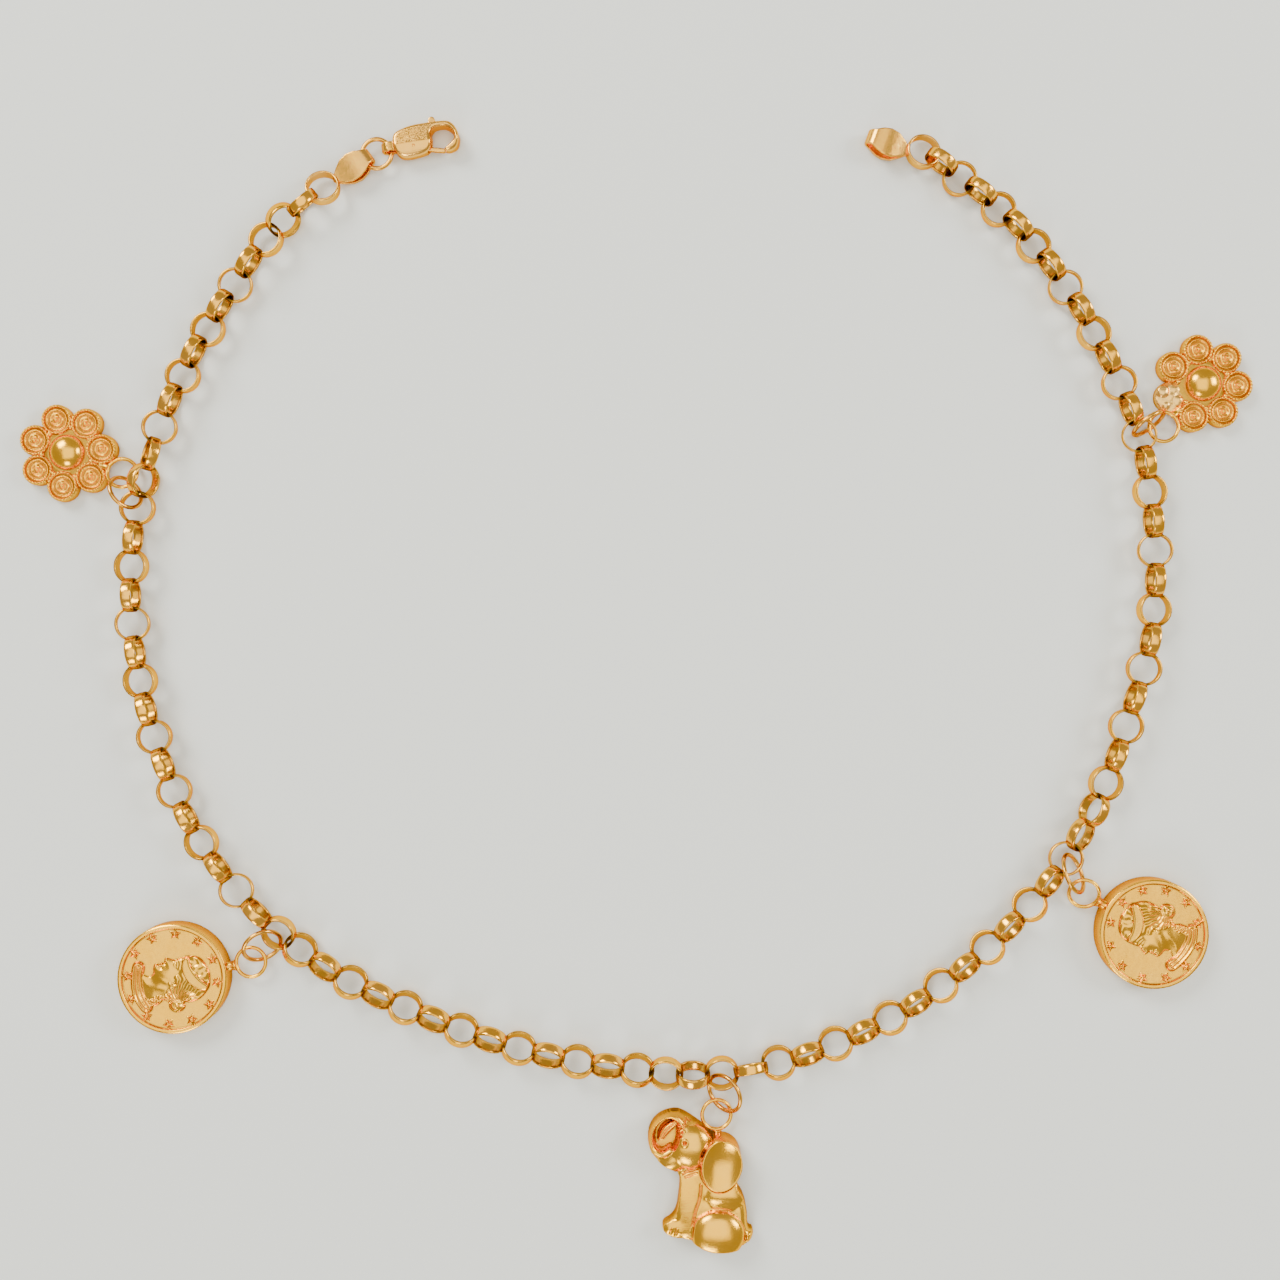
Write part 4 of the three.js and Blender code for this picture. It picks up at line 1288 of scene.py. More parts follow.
class CoinCharm:
    """A thick coin with stars round its field and a plain classical head in a bare crown."""

    # Head in shares of its height, looking towards -X with its crown towards +Y
    PROFILE = [
        (-0.2, -0.475), (-0.13, -0.41), (-0.098, -0.34), (-0.13, -0.285), (-0.2, -0.27),
        (-0.242, -0.245), (-0.25, -0.215), (-0.234, -0.19), (-0.25, -0.172), (-0.243, -0.153),
        (-0.256, -0.134), (-0.246, -0.108), (-0.3, -0.08), (-0.305, -0.055), (-0.275, 0.01),
        (-0.258, 0.06), (-0.264, 0.1), (-0.276, 0.17), (-0.27, 0.25), (-0.262, 0.33), (-0.2, 0.42),
        (-0.1, 0.475), (0.02, 0.5), (0.14, 0.48), (0.26, 0.41), (0.34, 0.3), (0.37, 0.17),
        (0.352, 0.075), (0.42, 0.07), (0.47, 0.0), (0.465, -0.09), (0.4, -0.15), (0.31, -0.15),
        (0.27, -0.22), (0.32, -0.3), (0.33, -0.39), (0.29, -0.47), (0.12, -0.5), (-0.05, -0.5),
    ]
    HAIR = [
        (-0.275, 0.19), (-0.21, 0.15), (-0.13, 0.12), (-0.06, 0.06), (-0.02, 0.0), (0.04, 0.03), (0.1, 0.0),
        (0.1, -0.08), (0.16, -0.14), (0.22, -0.16), (0.32, -0.2), (0.52, -0.2), (0.52, 0.2), (0.4, 0.5),
        (-0.1, 0.55), (-0.32, 0.4),
    ]
    CROWN = [(-0.25, 0.235), (-0.14, 0.215), (-0.02, 0.24), (0.09, 0.3), (0.17, 0.38), (0.2, 0.45)]
    BUN = (0.385, -0.035)
    DRAPE = [(-0.25, -0.475), (-0.14, -0.515), (0.02, -0.54), (0.18, -0.53), (0.32, -0.47)]
    LOCKS = [
        [(0.2, -0.12), (0.235, -0.2), (0.215, -0.29), (0.25, -0.38), (0.235, -0.45)],
        [(0.27, -0.13), (0.3, -0.22), (0.275, -0.31), (0.305, -0.41)],
    ]
    # Soft mounds and hollows of the face: place, size and rise
    MOUNDS = [
        (-0.1, -0.08, 0.085, 0.16), (-0.185, -0.02, 0.035, 0.05), (-0.13, -0.2, 0.06, 0.06),
        (-0.19, 0.062, 0.036, -0.22), (-0.2, 0.058, 0.019, 0.2), (-0.235, -0.24, 0.03, 0.08),
        (-0.23, -0.135, 0.02, 0.1), (-0.226, -0.17, 0.021, 0.11), (-0.19, -0.152, 0.018, -0.14),
        (-0.268, -0.075, 0.016, 0.1), (-0.245, -0.085, 0.014, -0.08), (-0.04, -0.3, 0.06, -0.1),
        (0.06, -0.03, 0.05, 0.05), (0.12, 0.2, 0.2, 0.1), (-0.22, 0.13, 0.06, 0.04),
    ]
    # Fine ridges of the face: path, half width and rise
    RIDGES = [
        ([(-0.236, 0.078), (-0.2, 0.084), (-0.155, 0.07)], 0.012, 0.14),
        ([(-0.23, 0.042), (-0.195, 0.036), (-0.165, 0.046)], 0.009, 0.08),
        ([(-0.25, 0.108), (-0.2, 0.122), (-0.13, 0.1)], 0.018, 0.1),
        ([(-0.246, -0.152), (-0.222, -0.153), (-0.2, -0.158)], 0.008, -0.16),
        ([(0.035, 0.025), (0.07, 0.045), (0.1, 0.015), (0.085, -0.04), (0.05, -0.07)], 0.014, 0.14),
        ([(0.055, 0.0), (0.07, -0.02), (0.06, -0.045)], 0.01, -0.12),
        ([(0.1, -0.18), (0.05, -0.3), (-0.02, -0.42)], 0.035, 0.07),
        ([(0.02, -0.12), (-0.05, -0.2), (-0.14, -0.25)], 0.03, 0.05),
    ]
    # How far inside its outline the head is at full height
    FACE_REACH = 0.19
    # Half widths of a lock, of the drapery and of one of its folds
    LOCK = 0.034
    ROBE = 0.088
    FOLD = 0.085
    # Stars: their points, their inner radius as a share and how steep their facets are
    POINTS = 5
    NOTCH = 0.45
    FACET = 1.15
    # How far the head is shifted up the coin, and how much the field rises to its edge
    HEAD_UP = 0.25
    FIELD_RISE = 0.05
    # How far the face stops short of the coin's side
    CHAMFER = 0.06
    # How the relief's recesses are found for their painted shade: samples averaged to each side, and strength
    RECESS_REACH = 4
    RECESS_STRENGTH = 6.0

    def __init__(self, size: CoinSize) -> None:
        self.size = size

    def _stars(self, x: Array, y: Array) -> Array:
        """Give the height of the faceted stars."""
        size = self.size
        angle = np.arctan2(y, x)
        sector = TURN / size.stars
        middle = (np.floor(angle / sector) + 0.5) * sector
        out = np.hypot(x, y)
        near = out * np.cos(angle - middle) - size.star_ring
        side = out * np.sin(angle - middle)
        point = TURN / self.POINTS
        fold = np.abs((np.arctan2(side, near) + point / 2) % point - point / 2)
        radius = np.hypot(near, side)
        tip = np.array([size.star_radius, 0.0])
        notch = size.star_radius * self.NOTCH * np.array([math.cos(point / 2), math.sin(point / 2)])
        edge = notch - tip
        normal = np.array([edge[1], -edge[0]])
        level = (radius * np.cos(fold) * normal[0] + radius * np.sin(fold) * normal[1]) / (tip @ normal)
        return size.star_rise * np.clip(self.FACET * (1 - level), 0, 1)

    def _head(self, x: Array, y: Array) -> Array:
        """Give the height of the head and the drapery over the field."""
        scale = self.size.head
        u, v = x / scale, y / scale
        outline = smooth_curve(self.PROFILE, 4, closed=True)
        inside = -outline_distance(u, v, outline)
        edge = np.clip(inside / self.FACE_REACH, 0, 1)
        height = 0.52 * np.sqrt(edge * (2 - edge)) + 0.08 * smooth_step(inside, 0, 0.015)
        height *= 1 - 0.3 * smooth_step(-v, 0.22, 0.5)
        for across, up, wide, rise in self.MOUNDS:
            height += rise * np.exp(-((u - across) ** 2 + (v - up) ** 2) / (2 * wide * wide))
        for path, half, rise in self.RIDGES:
            distance, _ = path_distance(u, v, path, 6)
            height += rise * np.exp(-(distance / half) ** 2)
        hair = -outline_distance(u, v, smooth_curve(self.HAIR, 4, closed=True))
        to_bun = np.hypot(u - self.BUN[0], v - self.BUN[1])
        angle = np.arctan2(v - self.BUN[1], u - self.BUN[0])
        flow = 26 * angle + 1.1 * np.sin(22 * to_bun) + 0.6 * np.sin(47 * to_bun + 3 * angle)
        strands = 0.5 + 0.5 * np.sin(flow)
        bun = smooth_step(to_bun, 0.1, 0.075)
        coil = 0.5 + 0.5 * np.sin(95 * to_bun + 2 * angle)
        pattern = strands * (1 - bun) + coil * bun
        height += smooth_step(hair, -0.004, 0.022) * (0.1 + 0.2 * (pattern - 0.35)) + 0.12 * bun
        crown, along = path_distance(u, v, self.CROWN, 6)
        wide = 0.062 * (0.45 + 0.75 * np.sin(np.clip(along, 0, 1) * math.pi) ** 0.6)
        plate = smooth_step(crown - wide, 0.008, -0.008)
        height = height * (1 - plate) + plate * (0.98 + 0.1 * np.exp(-((crown - wide + 0.014) / 0.008) ** 2))
        for lock in self.LOCKS:
            distance, way = path_distance(u, v, lock, 6)
            twist = 0.6 + 0.4 * np.sin(55 * way + 90 * distance)
            height += 0.34 * twist * np.clip(1 - (distance / self.LOCK) ** 2, 0, 1)
        height *= smooth_step(inside, -0.004, 0.008)
        drape, way = path_distance(u, v, self.DRAPE, 8)
        wave = drape / self.FOLD * 3 * math.pi + 0.5 * np.sin(7 * way)
        folds = 0.8 + 0.2 * np.cos(wave) + 0.03 * np.sin(16 * way)
        robe = 0.7 * folds * np.sqrt(np.clip(1 - (drape / self.ROBE) ** 4, 0, 1))
        return np.maximum(height, robe)

    def build(self, builder: MeshBuilder, centre: Array, turn: float) -> None:
        """Add the coin.

        Args:
            builder: Where the mesh is gathered.
            centre: Middle of its back.
            turn: Turn about Z, in degrees.
        """
        size = self.size
        radius = size.diameter / 2
        top = radius - self.CHAMFER
        side = np.linspace(-1, 1, size.grid)
        a, b = np.meshgrid(side, side, indexing="ij")
        x = top * a * np.sqrt(1 - b * b / 2)
        y = top * b * np.sqrt(1 - a * a / 2)
        out = np.hypot(x, y)
        field = size.thick - size.sunk
        inner = radius - size.rim
        height = field + self.FIELD_RISE * (out / radius) ** 2
        height += size.sunk * smooth_step(out, inner - 0.1, inner + 0.03)
        height -= self.FIELD_RISE * smooth_step(out, top - 0.1, top)
        height += self._stars(x, y) + size.head_rise * self._head(x, y - self.HEAD_UP)
        # Painted shade in the relief's recesses and in a ring at the foot of the rim
        recess = cavity(height, self.RECESS_REACH, self.RECESS_STRENGTH)
        recess += 0.25 * np.exp(-((out - inner + 0.1) / 0.07) ** 2)
        spin = level_basis(turn)
        face = np.stack([x, y, height], axis=-1)
        builder.add_grid(face @ spin + centre, False, False, np.clip(recess, 0, 1))
        rim = np.concatenate([face[:-1, 0], face[-1, :-1], face[:0:-1, -1], face[0, :0:-1]])
        way = rim[:, :2] / np.linalg.norm(rim[:, :2], axis=1, keepdims=True)
        bands = [(0.02, size.thick - 0.03), (0.0, size.thick - 0.1), (0.0, size.thick * 0.5), (0.0, 0.1),
                 (0.03, 0.03), (0.1, 0.0), (radius * 0.5, 0.0), (radius, 0.0)]
        wall = np.stack([rim] + [
            np.column_stack([way * (radius - inset), np.full(len(way), level)]) for inset, level in bands])
        # The coin's wall gets painted shade, darker towards the table
        builder.add_grid(wall @ spin + centre, False, True, wall_shade(wall[..., 2], size.thick))


class FlowerCharm:
    """Seven corded rosettes round a polished dome."""

    # Rosette profile: share of its radius, share of its height, how much it is corded
    PROFILE = [
        (0.0, 1.0, 0), (0.05, 0.99, 0), (0.1, 0.94, 0), (0.14, 0.85, 0), (0.17, 0.75, 0),
        (0.22, 0.71, 0), (0.28, 0.72, 0), (0.33, 0.8, 0), (0.38, 0.84, 0), (0.43, 0.81, 0),
        (0.48, 0.7, 0), (0.52, 0.65, 0), (0.57, 0.68, 0), (0.61, 0.76, 0.2), (0.65, 0.8, 0.3),
        (0.69, 0.76, 0.2), (0.72, 0.64, 0), (0.75, 0.61, 0), (0.78, 0.67, 0.3), (0.82, 0.84, 0.8),
        (0.87, 0.96, 1), (0.92, 0.95, 1), (0.97, 0.84, 0.9), (1.0, 0.7, 0.4), (1.0, 0.56, 0),
        (0.995, 0.35, 0), (0.99, 0.08, 0), (0.94, 0.0, 0), (0.5, 0.0, 0), (0.0, 0.0, 0),
    ]
    CORD_TURNS = 26
    # How deep the cord's twists cut down and in
    CORD_DOWN = 0.1
    CORD_IN = 0.035
    STEPS = 156
    # Degrees from one rosette's twists to the next one's
    TWIST_STEP = 23
    # Lumps of the spilt solder: place, half width and top, as shares of a rosette
    LUMPS = [(0.0, 0.0, 0.8, 0.62), (0.35, -0.5, 0.42, 0.86), (-0.3, 0.42, 0.4, 0.78), (0.5, 0.4, 0.3, 0.72)]
    # Grains of solder between the rosettes: radius, place out from the dome, place over the plate
    GRAIN = 0.26
    GRAIN_OUT = 0.62
    GRAIN_UP = 0.28
    HALF_TURN = np.linspace(-math.pi / 2, math.pi / 2, 11)
    # Height of the dome's upright foot
    FOOT = 0.8

    def __init__(self, size: FlowerSize, smeared: Optional[int] = None) -> None:
        self.size = size
        self.smeared = smeared

    def _rosette(self) -> tuple[Array, Array]:
        """Turn one rosette, with its rings corded like twisted wire, and give its painted shade."""
        size = self.size
        rows = np.array(self.PROFILE)
        profile = np.stack([rows[:, 0] * size.rosette, rows[:, 1] * size.rosette_thick], axis=-1)
        grid = lathe_grid(profile, self.STEPS)
        angle = np.linspace(0, TURN, self.STEPS, endpoint=False)[None, :]
        cord = np.cos(self.CORD_TURNS * angle + 5.0 * rows[:, 0][:, None] * TURN)
        depth = rows[:, 2][:, None] * (0.5 - 0.5 * cord)
        grid[..., 2] -= self.CORD_DOWN * depth
        grid[..., :2] *= (1 - self.CORD_IN * depth)[..., None]
        # Painted shade in the low hollows, in the cord's twists and on the outer wall near the table
        hollow = np.clip((0.8 - rows[:, 1]) / 0.14, 0, 1) * (rows[:, 0] < 0.8) * (rows[:, 1] > 0)
        wall = wall_shade(grid[..., 2], size.rosette_thick) * (rows[:, 0] > 0.96)[:, None]
        return grid, np.clip(0.5 * hollow[:, None] + 0.35 * depth + 0.6 * wall, 0, 1)

    def solder(self, builder: MeshBuilder, centre: Array, turn: float) -> None:
        """Add the lump of spilt solder that covers the smeared rosette.

        Args:
            builder: Where the lump is gathered.
            centre: Middle of the flower's back.
            turn: The flower's turn about Z, in degrees.
        """
        size = self.size
        angle = turn + 360 * (self.smeared + 0.5) / size.petals
        radius = np.linspace(0, 1, 26)[:, None]
        around = np.linspace(0, TURN, 80, endpoint=False)[None, :]
        x, y = radius * np.cos(around), radius * np.sin(around)
        height = 0.5 + 0.2 * np.sqrt(1 - radius ** 2) + 0 * x
        for across, up, wide, top in self.LUMPS:
            near = ((x - across) ** 2 + (y - up) ** 2) / wide ** 2
            height = np.maximum(height, top * (0.72 + 0.28 * np.sqrt(np.clip(1 - near, 0, 1))) * (near < 1))
        height += 0.025 * np.sin(7 * x + 2) * np.cos(9 * y)
        grid = np.stack([x * size.rosette, y * size.rosette, height * size.rosette_thick], axis=-1)
        skirt = grid[-1].copy()
        skirt[:, 2] = 0.0
        grid = np.concatenate([grid, skirt[None], 0 * skirt[None]])
        # Painted shade in the lump's recesses and on its skirt down to the table
        shade = cavity(grid[..., 2], 2, 3.0)
        shade[-2:] = 0.6
        place = centre + heading(angle) * size.ring
        builder.add_grid(grid @ level_basis(angle) + place, False, True, shade)

    def build(self, builder: MeshBuilder, centre: Array, turn: float) -> None:
        """Add the flower.

        Args:
            builder: Where the mesh is gathered.
            centre: Middle of its back.
            turn: Turn about Z, in degrees.
        """
        size = self.size
        rosette, shade = self._rosette()
        around = np.stack([self.GRAIN * np.cos(self.HALF_TURN), self.GRAIN * np.sin(self.HALF_TURN)], axis=-1)
        grain = lathe_grid(around, 20)
        for petal in range(size.petals):
            angle = turn + 360 * (petal + 0.5) / size.petals
            out = heading(angle + 180 / size.petals) * (size.dome + self.GRAIN_OUT)
            gap = centre + out + UP * (size.plate + self.GRAIN_UP)
            # Painted shade, slight, on each grain that sits low between the rosettes
            builder.add_grid(grain + gap, False, True, 0.1)
            if petal == self.smeared:
                continue
            spin = level_basis(angle + self.TWIST_STEP * petal)
            place = centre + heading(angle) * size.ring
            builder.add_grid(rosette @ spin + place, False, True, shade)
        wide, foot = size.dome, self.FOOT
        dome = [(0.0, 0.0), (wide * 0.9, 0.0), (wide + 0.12, 0.1), (wide + 0.14, foot - 0.1),
                (wide + 0.12, foot + 0.06), (wide + 0.02, foot + 0.1), (wide - 0.06, foot + 0.02)]
        cap = size.dome_height - foot
        rise = np.linspace(0, math.pi / 2, 22)
        dome += [((wide - 0.1) * math.cos(a), foot + cap * math.sin(a)) for a in rise]
        grid = lathe_grid(np.array(dome), 72)
        # Painted shade in the crease between the dome's foot and its cap
        ring = np.zeros(grid.shape[:2])
        ring[6:8] = 0.8
        builder.add_grid(grid + centre, False, True, ring)
        rim, top = size.ring, size.plate
        plate = np.array([(0.0, 0.05), (rim, 0.05), (rim + 0.1, 0.2), (rim, top), (rim * 0.8, top + 0.2),
                          (wide, top + 0.35), (0.0, top)])
        # Painted shade over the plate between the rosettes and the dome
        builder.add_grid(lathe_grid(plate, 48) + centre, False, True, 0.6)


class ElephantCharm:
    """A seated young elephant with a raised, curled trunk and a round dished ear, cast with a flat back."""

    # Outline in shares of the height, from the crown of the head round to the left
    OUTLINE = [
        (-0.046, 0.0), (-0.096, 0.05), (-0.162, 0.1), (-0.236, 0.148), (-0.31, 0.178), (-0.393, 0.165),
        (-0.468, 0.122), (-0.516, 0.052), (-0.531, -0.022), (-0.522, -0.088), (-0.488, -0.16),
        (-0.42, -0.222), (-0.343, -0.262), (-0.298, -0.3), (-0.29, -0.385), (-0.298, -0.467),
        (-0.314, -0.566), (-0.351, -0.632), (-0.41, -0.674), (-0.418, -0.715), (-0.384, -0.752),
        (-0.31, -0.777), (-0.215, -0.787), (-0.178, -0.818), (-0.112, -0.855), (-0.03, -0.878),
        (0.0775, -0.878), (0.168, -0.855), (0.215, -0.828), (0.251, -0.8), (0.27, -0.748),
        (0.262, -0.718), (0.24, -0.71), (0.226, -0.67), (0.222, -0.591), (0.206, -0.5), (0.182, -0.443),
        (0.15, -0.385), (0.168, -0.302), (0.182, -0.22), (0.174, -0.137), (0.14, -0.06), (0.0775, -0.015),
        (0.02, -0.005),
    ]
    # The ear's middle and half sizes
    EAR = (0.028, -0.19, 0.162, 0.212)
    # Rounded masses: middle, half sizes, turn, and the heights of edge and top as shares of the thickness
    DOMES = [
        (-0.205, -0.07, 0.17, 0.175, 0, 0.55, 0.93), (-0.29, -0.15, 0.2, 0.105, 32, 0.4, 0.78),
        (-0.225, -0.52, 0.1, 0.31, 4, 0.5, 0.64), (-0.29, -0.7, 0.13, 0.08, 0, 0.48, 0.6),
        (0.05, -0.45, 0.16, 0.13, 0, 0.5, 0.72), (-0.002, -0.735, 0.204, 0.185, 0, 0.62, 0.98),
    ]
    # The curled trunk's rim
    CURL = [
        (-0.275, 0.11), (-0.312, 0.148), (-0.362, 0.166), (-0.42, 0.155), (-0.472, 0.114), (-0.508, 0.044),
        (-0.512, -0.036), (-0.482, -0.1), (-0.42, -0.13), (-0.36, -0.1),
    ]
    # The hollow inside the curled trunk, and the trunk's tip across it
    HOLLOW = (-0.404, 0.022, 0.104, 0.137)
    TIP = [(-0.436, -0.02), (-0.408, 0.035), (-0.368, 0.076), (-0.316, 0.114)]
    # Grooves and folds: path, half width and depth in millimetres
    GROOVES = [
        ([(-0.129, -0.37), (-0.137, -0.467), (-0.166, -0.558), (-0.182, -0.632), (-0.195, -0.715),
          (-0.197, -0.79)], 0.007, 0.2),
        ([(-0.262, -0.285), (-0.22, -0.262), (-0.19, -0.258), (-0.15, -0.238)], 0.008, 0.25),
        ([(-0.245, -0.305), (-0.2, -0.29), (-0.16, -0.275)], 0.008, 0.2),
        ([(-0.085, -0.49), (-0.02, -0.505), (0.06, -0.498), (0.13, -0.515), (0.2, -0.51)], 0.03, 0.07),
        ([(-0.115, -0.155), (-0.12, -0.12), (-0.105, -0.09)], 0.011, 0.5),
        ([(-0.36, -0.735), (-0.345, -0.7)], 0.008, 0.15),
        ([(-0.32, -0.745), (-0.31, -0.705)], 0.008, 0.15),
        ([(0.205, -0.75), (0.212, -0.8)], 0.01, 0.3),
    ]
    # Eyes and nostril: place and radius
    EYES = [(-0.288, 0.022, 0.012), (-0.255, -0.024, 0.013), (-0.272, 0.05, 0.008)]
    # Heights as shares of the thickness: the wall's top, the plain body and the hollow
    WALL_TOP = 0.3
    BODY_TOP = 0.6
    HOLLOW_FLOOR = 0.36
    # Half width of the rounded edge and of the trunk's rim, as shares of the height
    EDGE = 0.062
    RIM = 0.034
    # Fillets of the masses and of the trunk's rim, in millimetres
    DOME_FILLET = 0.12
    RIM_FILLET = 0.1
    # How much the ear leans over from bottom to top
    EAR_LEAN = 0.1
    # How the relief's recesses are found for their painted shade: samples averaged to each side, and strength
    RECESS_REACH = 6
    RECESS_STRENGTH = 1.1

    def __init__(self, size: ElephantSize) -> None:
        self.size = size
        self.low = np.array([-0.56 * size.height, -0.91 * size.height, -0.2])
        self.high = np.array([0.3 * size.height, 0.21 * size.height, size.thick + 0.2])
        corners = zip(self.low[:2], self.high[:2])
        spans = [np.arange(start, end + size.step, size.step) for start, end in corners]
        x, y = np.meshgrid(*spans, indexing="ij")
        self.flat = outline_distance(x, y, smooth_curve(self.OUTLINE, 3, closed=True) * size.height)
        self.height = self._relief(x / size.height, y / size.height, -self.flat / size.height)
        # Painted shade in the relief's recesses
        self.recess = cavity(self.height, self.RECESS_REACH, self.RECESS_STRENGTH)

    def _relief(self, u: Array, v: Array, inside: Array) -> Array:
        """Give the height of the top surface over the back.

        Args:
            u: Places across, in shares of the height.
            v: Places up.
            inside: Distance inside the outline.

        Returns:
            Heights in millimetres.
        """
        thick = self.size.thick
        edge = np.clip(inside / self.EDGE, 0, 1)
        pillow = np.sqrt(edge * (2 - edge))
        height = thick * (self.WALL_TOP + (self.BODY_TOP - self.WALL_TOP) * pillow)
        most = thick * (self.WALL_TOP + (1 - self.WALL_TOP) * pillow)
        for across, up, wide, high, turn, low, top in self.DOMES:
            cosine, sine = math.cos(math.radians(turn)), math.sin(math.radians(turn))
            along = ((u - across) * cosine + (v - up) * sine) / wide
            over = ((v - up) * cosine - (u - across) * sine) / high
            inner = 1 - along ** 2 - over ** 2
            dome = thick * (low + (top - low) * np.sqrt(np.maximum(inner, 0)))
            dome = np.where(inner > 0, np.minimum(dome, most), 0.0)
            height = -blend_in(-height, -dome, self.DOME_FILLET)
        across, up, wide, high = self.HOLLOW
        near = np.hypot((u - across) / wide, (v - up) / high)
        outside = smooth_step(near, 0.86, 1.12)
        height = height * outside + thick * self.HOLLOW_FLOOR * (1 - outside)
        rim, _ = path_distance(u, v, self.CURL, 5)
        lip = thick * (0.44 + 0.34 * np.sqrt(np.clip(1 - (rim / self.RIM) ** 2, 0, 1)))
        lip = np.minimum(lip, most)
        height = np.where(rim < self.RIM, -blend_in(-height, -lip, self.RIM_FILLET), height)
        tip, way = path_distance(u, v, self.TIP, 5)
        leaf = 0.04 * np.sin(np.clip(0.12 + 0.8 * way, 0, 1) * math.pi) ** 0.7
        blade = thick * (0.38 + 0.32 * np.sqrt(np.clip(1 - (tip / leaf) ** 2, 0, 1)))
        blade -= 0.35 * np.exp(-(tip / 0.007) ** 2)
        height = np.where(tip < leaf, np.maximum(height, blade), height)
        across, up, wide, high = self.EAR
        lean = self.EAR_LEAN * (v - up)
        near = np.hypot((u - across - lean) / wide, (v - up) / high)
        dish = thick * (0.8 + 0.17 * np.clip(near / 0.9, 0, 1) ** 2)
        dish -= 0.6 * np.clip((near - 0.91) / 0.09, 0, 1) ** 2
        height = np.where(near < 1, np.maximum(dish, thick * self.BODY_TOP), height)
        free = smooth_step((u - across) / wide, -0.75, -0.2)
        height -= (0.08 + 0.3 * free) * np.exp(-((near - 1.03) / 0.035) ** 2) * (near >= 1)
        for path, half, depth in self.GROOVES:
            distance, _ = path_distance(u, v, path, 5)
            height -= depth * np.exp(-(distance / half) ** 2) * (near >= 1)
        for across, up, radius in self.EYES:
            distance = np.hypot(u - across, v - up) / radius
            height += 0.12 * np.exp(-((distance - 1.6) / 0.6) ** 2) - 0.4 * np.exp(-distance ** 2)
        return np.clip(height, thick * 0.25, thick)

    def _field(self, x: Array, y: Array, z: Array) -> Array:
        """Measure the casting: inside the outline, over the table and under its relief."""
        slope = np.hypot(*np.gradient(self.height, self.size.step))
        over = (z - self.height[:, :, None]) / np.sqrt(1 + np.minimum(slope, 3) ** 2)[:, :, None]
        return np.maximum(np.maximum(self.flat[:, :, None], over), -z)

    def _shade(self, x: Array, y: Array, z: Array) -> Array:
        """Read the painted shade of points: how deep in a recess the top's points lie, and darker on the wall
        near the table.
        """
        step = self.size.step
        i = np.clip(((x - self.low[0]) / step).round().astype(int), 0, self.recess.shape[0] - 1)
        j = np.clip(((y - self.low[1]) / step).round().astype(int), 0, self.recess.shape[1] - 1)
        wall = wall_shade(z, 0.75 * self.size.thick) * (self.flat[i, j] > -0.12)
        return np.clip(np.where(z > 0.2, self.recess[i, j], 0.0) + wall, 0, 1)

    def build(self, builder: MeshBuilder, centre: Array, turn: float) -> None:
        """Add the elephant.

        Args:
            builder: Where the mesh is gathered.
            centre: The point where its ring is soldered, on the table.
            turn: Turn about Z, in degrees.
        """
        net_piece(builder, self._field, self.low, self.high, self.size.step, level_basis(turn), centre,
                  self._shade)


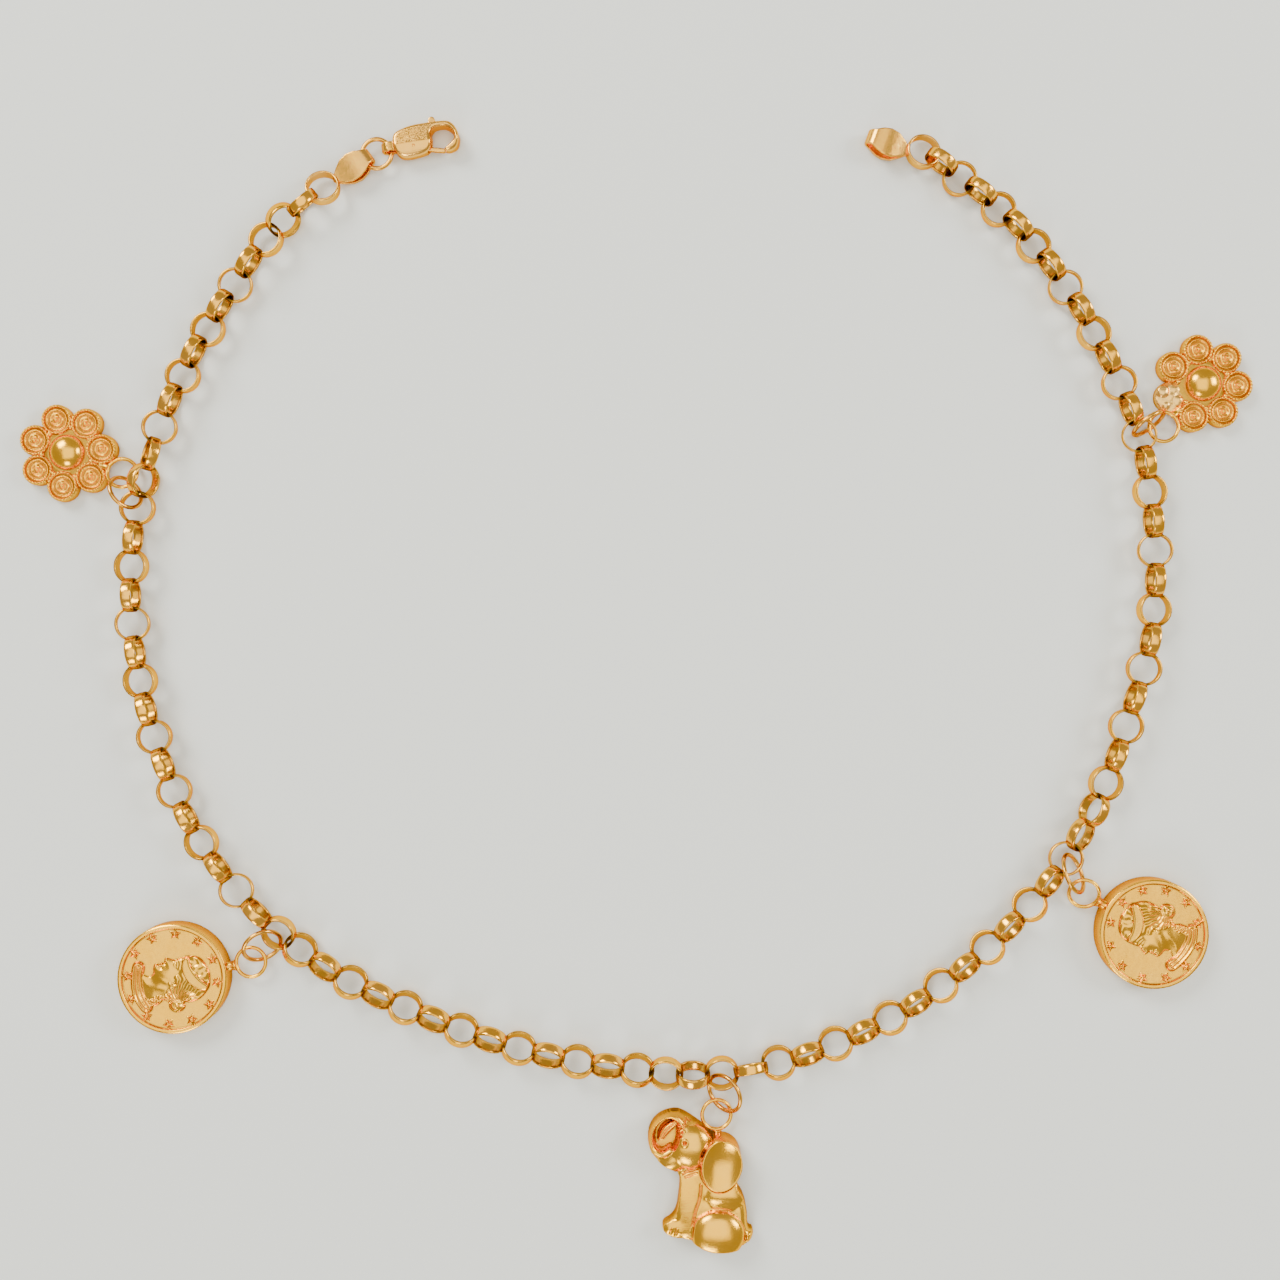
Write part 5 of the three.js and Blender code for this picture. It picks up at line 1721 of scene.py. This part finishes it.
class Charms:
    """The five charms with their jump rings."""

    SMEARED = "flower_right"
    # How much wider the solder between a charm and its ring is at its ends, and its shade
    POST_FLARE = 0.35
    POST_SHADE = 0.15

    def __init__(self, chain: Chain) -> None:
        self.chain = chain
        self.ring_middle = (RINGS.charm_outer - RINGS.charm_wire) / 2
        petal = FLOWER.petal_ring * math.cos(math.pi / FLOWER.petals)
        self.reach = {
            Kind.COIN: COIN.diameter / 2 + COIN.post + self.ring_middle,
            Kind.FLOWER: petal + FLOWER.reach,
            Kind.ELEPHANT: self.ring_middle + RINGS.charm_wire,
        }
        self.post = {
            Kind.COIN: (COIN.thick / 2, 0.42, COIN.diameter / 2 - 0.3),
            Kind.FLOWER: (FLOWER.rosette_thick * 0.65, 0.3, FLOWER.ring),
            Kind.ELEPHANT: (RINGS.charm_wire * 2, 0.35, -0.5),
        }
        self.makers = {
            Kind.COIN: (CoinCharm(COIN), lambda side: side + 90),
            Kind.FLOWER: (FlowerCharm(FLOWER), lambda side: side + 180),
            Kind.ELEPHANT: (ElephantCharm(ELEPHANT), lambda side: 0.0),
        }

    def _post(self, builder: MeshBuilder, start: Array, end: Array, radius: float) -> None:
        """Add the flowed solder between a charm and its ring."""
        ahead = unit(end - start)
        length = float(np.linalg.norm(end - start))
        share = np.linspace(0, 1, 15)
        width = radius * (1 + self.POST_FLARE * (2 * share - 1) ** 2)
        width[[0, -1]] = 0.0
        share[0], share[-1] = share[1], share[-2]
        post = lathe_grid(np.stack([width, share * length], axis=-1), 28)
        level = unit(np.cross(ahead, UP))
        axes = basis(level, np.cross(ahead, level), ahead)
        builder.add_grid(post @ axes + start, False, True, self.POST_SHADE)

    def build(self) -> None:
        """Write every charm and its jump ring."""
        for row in CHARMS:
            link = self.chain.links[row.link - 1]
            half_wire = RINGS.jump_wire / 2
            jump_middle = (row.outer - RINGS.jump_wire) / 2
            jump = link.place + heading(row.side) * row.out * (CHAIN.inner + jump_middle - half_wire)
            jump[2] = jump_middle * abs(math.sin(math.radians(row.lean))) + half_wire
            height, radius, post_from = self.post[row.kind]
            reach = jump_middle + self.ring_middle - half_wire
            ring = jump + heading(row.ring_side) * row.ring_out * reach
            ring[2] = height
            centre = ring + heading(row.body_side) * self.reach[row.kind]
            centre[2] = 0.0
            maker, turn = self.makers[row.kind]
            if row.name == self.SMEARED:
                maker = FlowerCharm(FLOWER, FLOWER.petals - 1)
                lump = MeshBuilder()
                maker.solder(lump, centre, turn(row.body_side))
                spill = lump.build(f"{row.name}_solder")
                spill.data.materials.append(MATERIALS.gold(SOLDER_GOLD))
                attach(spill, Body.ANKLET.value)
            builder = MeshBuilder()
            maker.build(builder, centre, turn(row.body_side))
            soldered = wire_ring(RINGS.charm_outer, RINGS.charm_wire, ring, row.body_side, row.ring_lean)
            builder.add_grid(soldered, True, True)
            back = heading(row.body_side + 180)
            start = centre + UP * height + back * post_from
            self._post(builder, start, ring - back * self.ring_middle, radius)
            finish_piece(builder, row.name, CHARM_GOLD)
            loop = MeshBuilder()
            loop.add_grid(wire_ring(row.outer, RINGS.jump_wire, jump, row.along, row.lean), True, True)
            finish_piece(loop, f"{row.name}_jump_ring", RING_GOLD)


# Table, light and camera


@dataclass(frozen=True)
class SoftBox:
    """A soft light: where it hangs, what it looks at, its size, power and colour."""

    name: str
    place: tuple[float, float, float]
    target: tuple[float, float, float]
    size: float
    power: float
    colour: Colour


LIGHTS = [
    SoftBox("overhead_panel", (0.0, -0.01, 0.44), (0.0, -0.01, 0.0), 0.47, 1.3, (1.0, 0.985, 0.94)),
    SoftBox("key_light", (-0.3, 0.34, 0.34), (0.0, 0.0, 0.0), 0.24, 2.7, (1.0, 0.97, 0.92)),
    SoftBox("side_light", (0.42, 0.12, 0.26), (0.0, 0.0, 0.0), 0.18, 1.3, (1.0, 0.98, 0.95)),
    SoftBox("low_light", (-0.1, -0.42, 0.22), (0.0, 0.0, 0.0), 0.16, 0.8, (1.0, 0.98, 0.95)),
]


class Studio:
    """The pale table, the lights and the camera above it."""

    # Height of the camera over the table, in millimetres
    HEIGHT = 136.5
    LENS = 41.06
    SENSOR = 36.0
    NEAREST = 0.01
    # Side of the table, in metres
    TABLE_SIZE = 0.8
    ROOM_COLOUR = (1.0, 0.89, 0.74, 1.0)
    ROOM_STRENGTH = 0.51

    def build(self) -> None:
        """Set the studio up."""
        half = self.TABLE_SIZE / 2
        mesh = bpy.data.meshes.new("table")
        corners = [(-half, -half, 0), (half, -half, 0), (half, half, 0), (-half, half, 0)]
        mesh.from_pydata(corners, [], [(0, 1, 2, 3)])
        mesh.materials.append(MATERIALS.paper())
        new_object("table", mesh)
        for light in LIGHTS:
            lamp = bpy.data.lights.new(light.name, "AREA")
            lamp.shape = "SQUARE"
            lamp.size = light.size
            lamp.energy = light.power
            lamp.color = light.colour
            holder = new_object(light.name, lamp)
            holder.location = light.place
            aim = Vector(light.target) - Vector(light.place)
            holder.rotation_euler = aim.to_track_quat("-Z", "Y").to_euler()
        world = bpy.data.worlds.new("studio")
        world.use_nodes = True
        room = world.node_tree.nodes["Background"]
        room.inputs["Color"].default_value = self.ROOM_COLOUR
        room.inputs["Strength"].default_value = self.ROOM_STRENGTH
        bpy.context.scene.world = world
        lens = bpy.data.cameras.new("camera")
        lens.lens = self.LENS
        lens.sensor_width = self.SENSOR
        lens.clip_start = self.NEAREST
        camera = new_object("camera", lens)
        camera.location = tuple((TABLE_ORIGIN + UP * self.HEIGHT) * MM)
        bpy.context.scene.camera = camera


# Directions in degrees: where each tag's tip lies from its link, where each tag points, where the ring
# lies from the tag's seat and the clasp's tail from the ring, and where the clasp points
CLASP_TAG_ANGLES = (35, 35)
CATCH_TAG_ANGLES = (178, 160)
RING_ANGLE = 27
TAIL_ANGLE = 23
CLASP_ANGLE = 9


def build_anklet() -> None:
    """Write every piece of the anklet."""
    chain = Chain(CHAIN)
    chain.build()
    clasp_tag = EndTag(chain, 1, *CLASP_TAG_ANGLES, TAG.clasp_loop)
    catch_tag = EndTag(chain, CHAIN.count, *CATCH_TAG_ANGLES, TAG.catch_loop)
    clasp_tag.build("clasp_tag")
    catch_tag.build("catch_tag")
    middle = (RINGS.clasp_outer - RINGS.clasp_wire) / 2
    arc = (middle - math.sqrt(middle ** 2 - (CLASP.tail_width / 2) ** 2)) / 2
    ring_place = clasp_tag.seat + heading(RING_ANGLE) * middle
    tail = ring_place + heading(TAIL_ANGLE) * (middle - arc)
    tail[2] = SEAT_HEIGHT
    ring_place[2] = SEAT_HEIGHT
    ring = MeshBuilder()
    ring.add_grid(wire_ring(RINGS.clasp_outer, RINGS.clasp_wire, ring_place, CLASP_ANGLE, 0), True, True)
    finish_piece(ring, "clasp_ring", RING_GOLD)
    LobsterClasp(tail, CLASP_ANGLE).build()
    Charms(chain).build()


def main() -> None:
    """Build the studio and the anklet."""
    logging.basicConfig(level=logging.INFO)
    Studio().build()
    build_anklet()


if __name__ == "__main__":
    main()
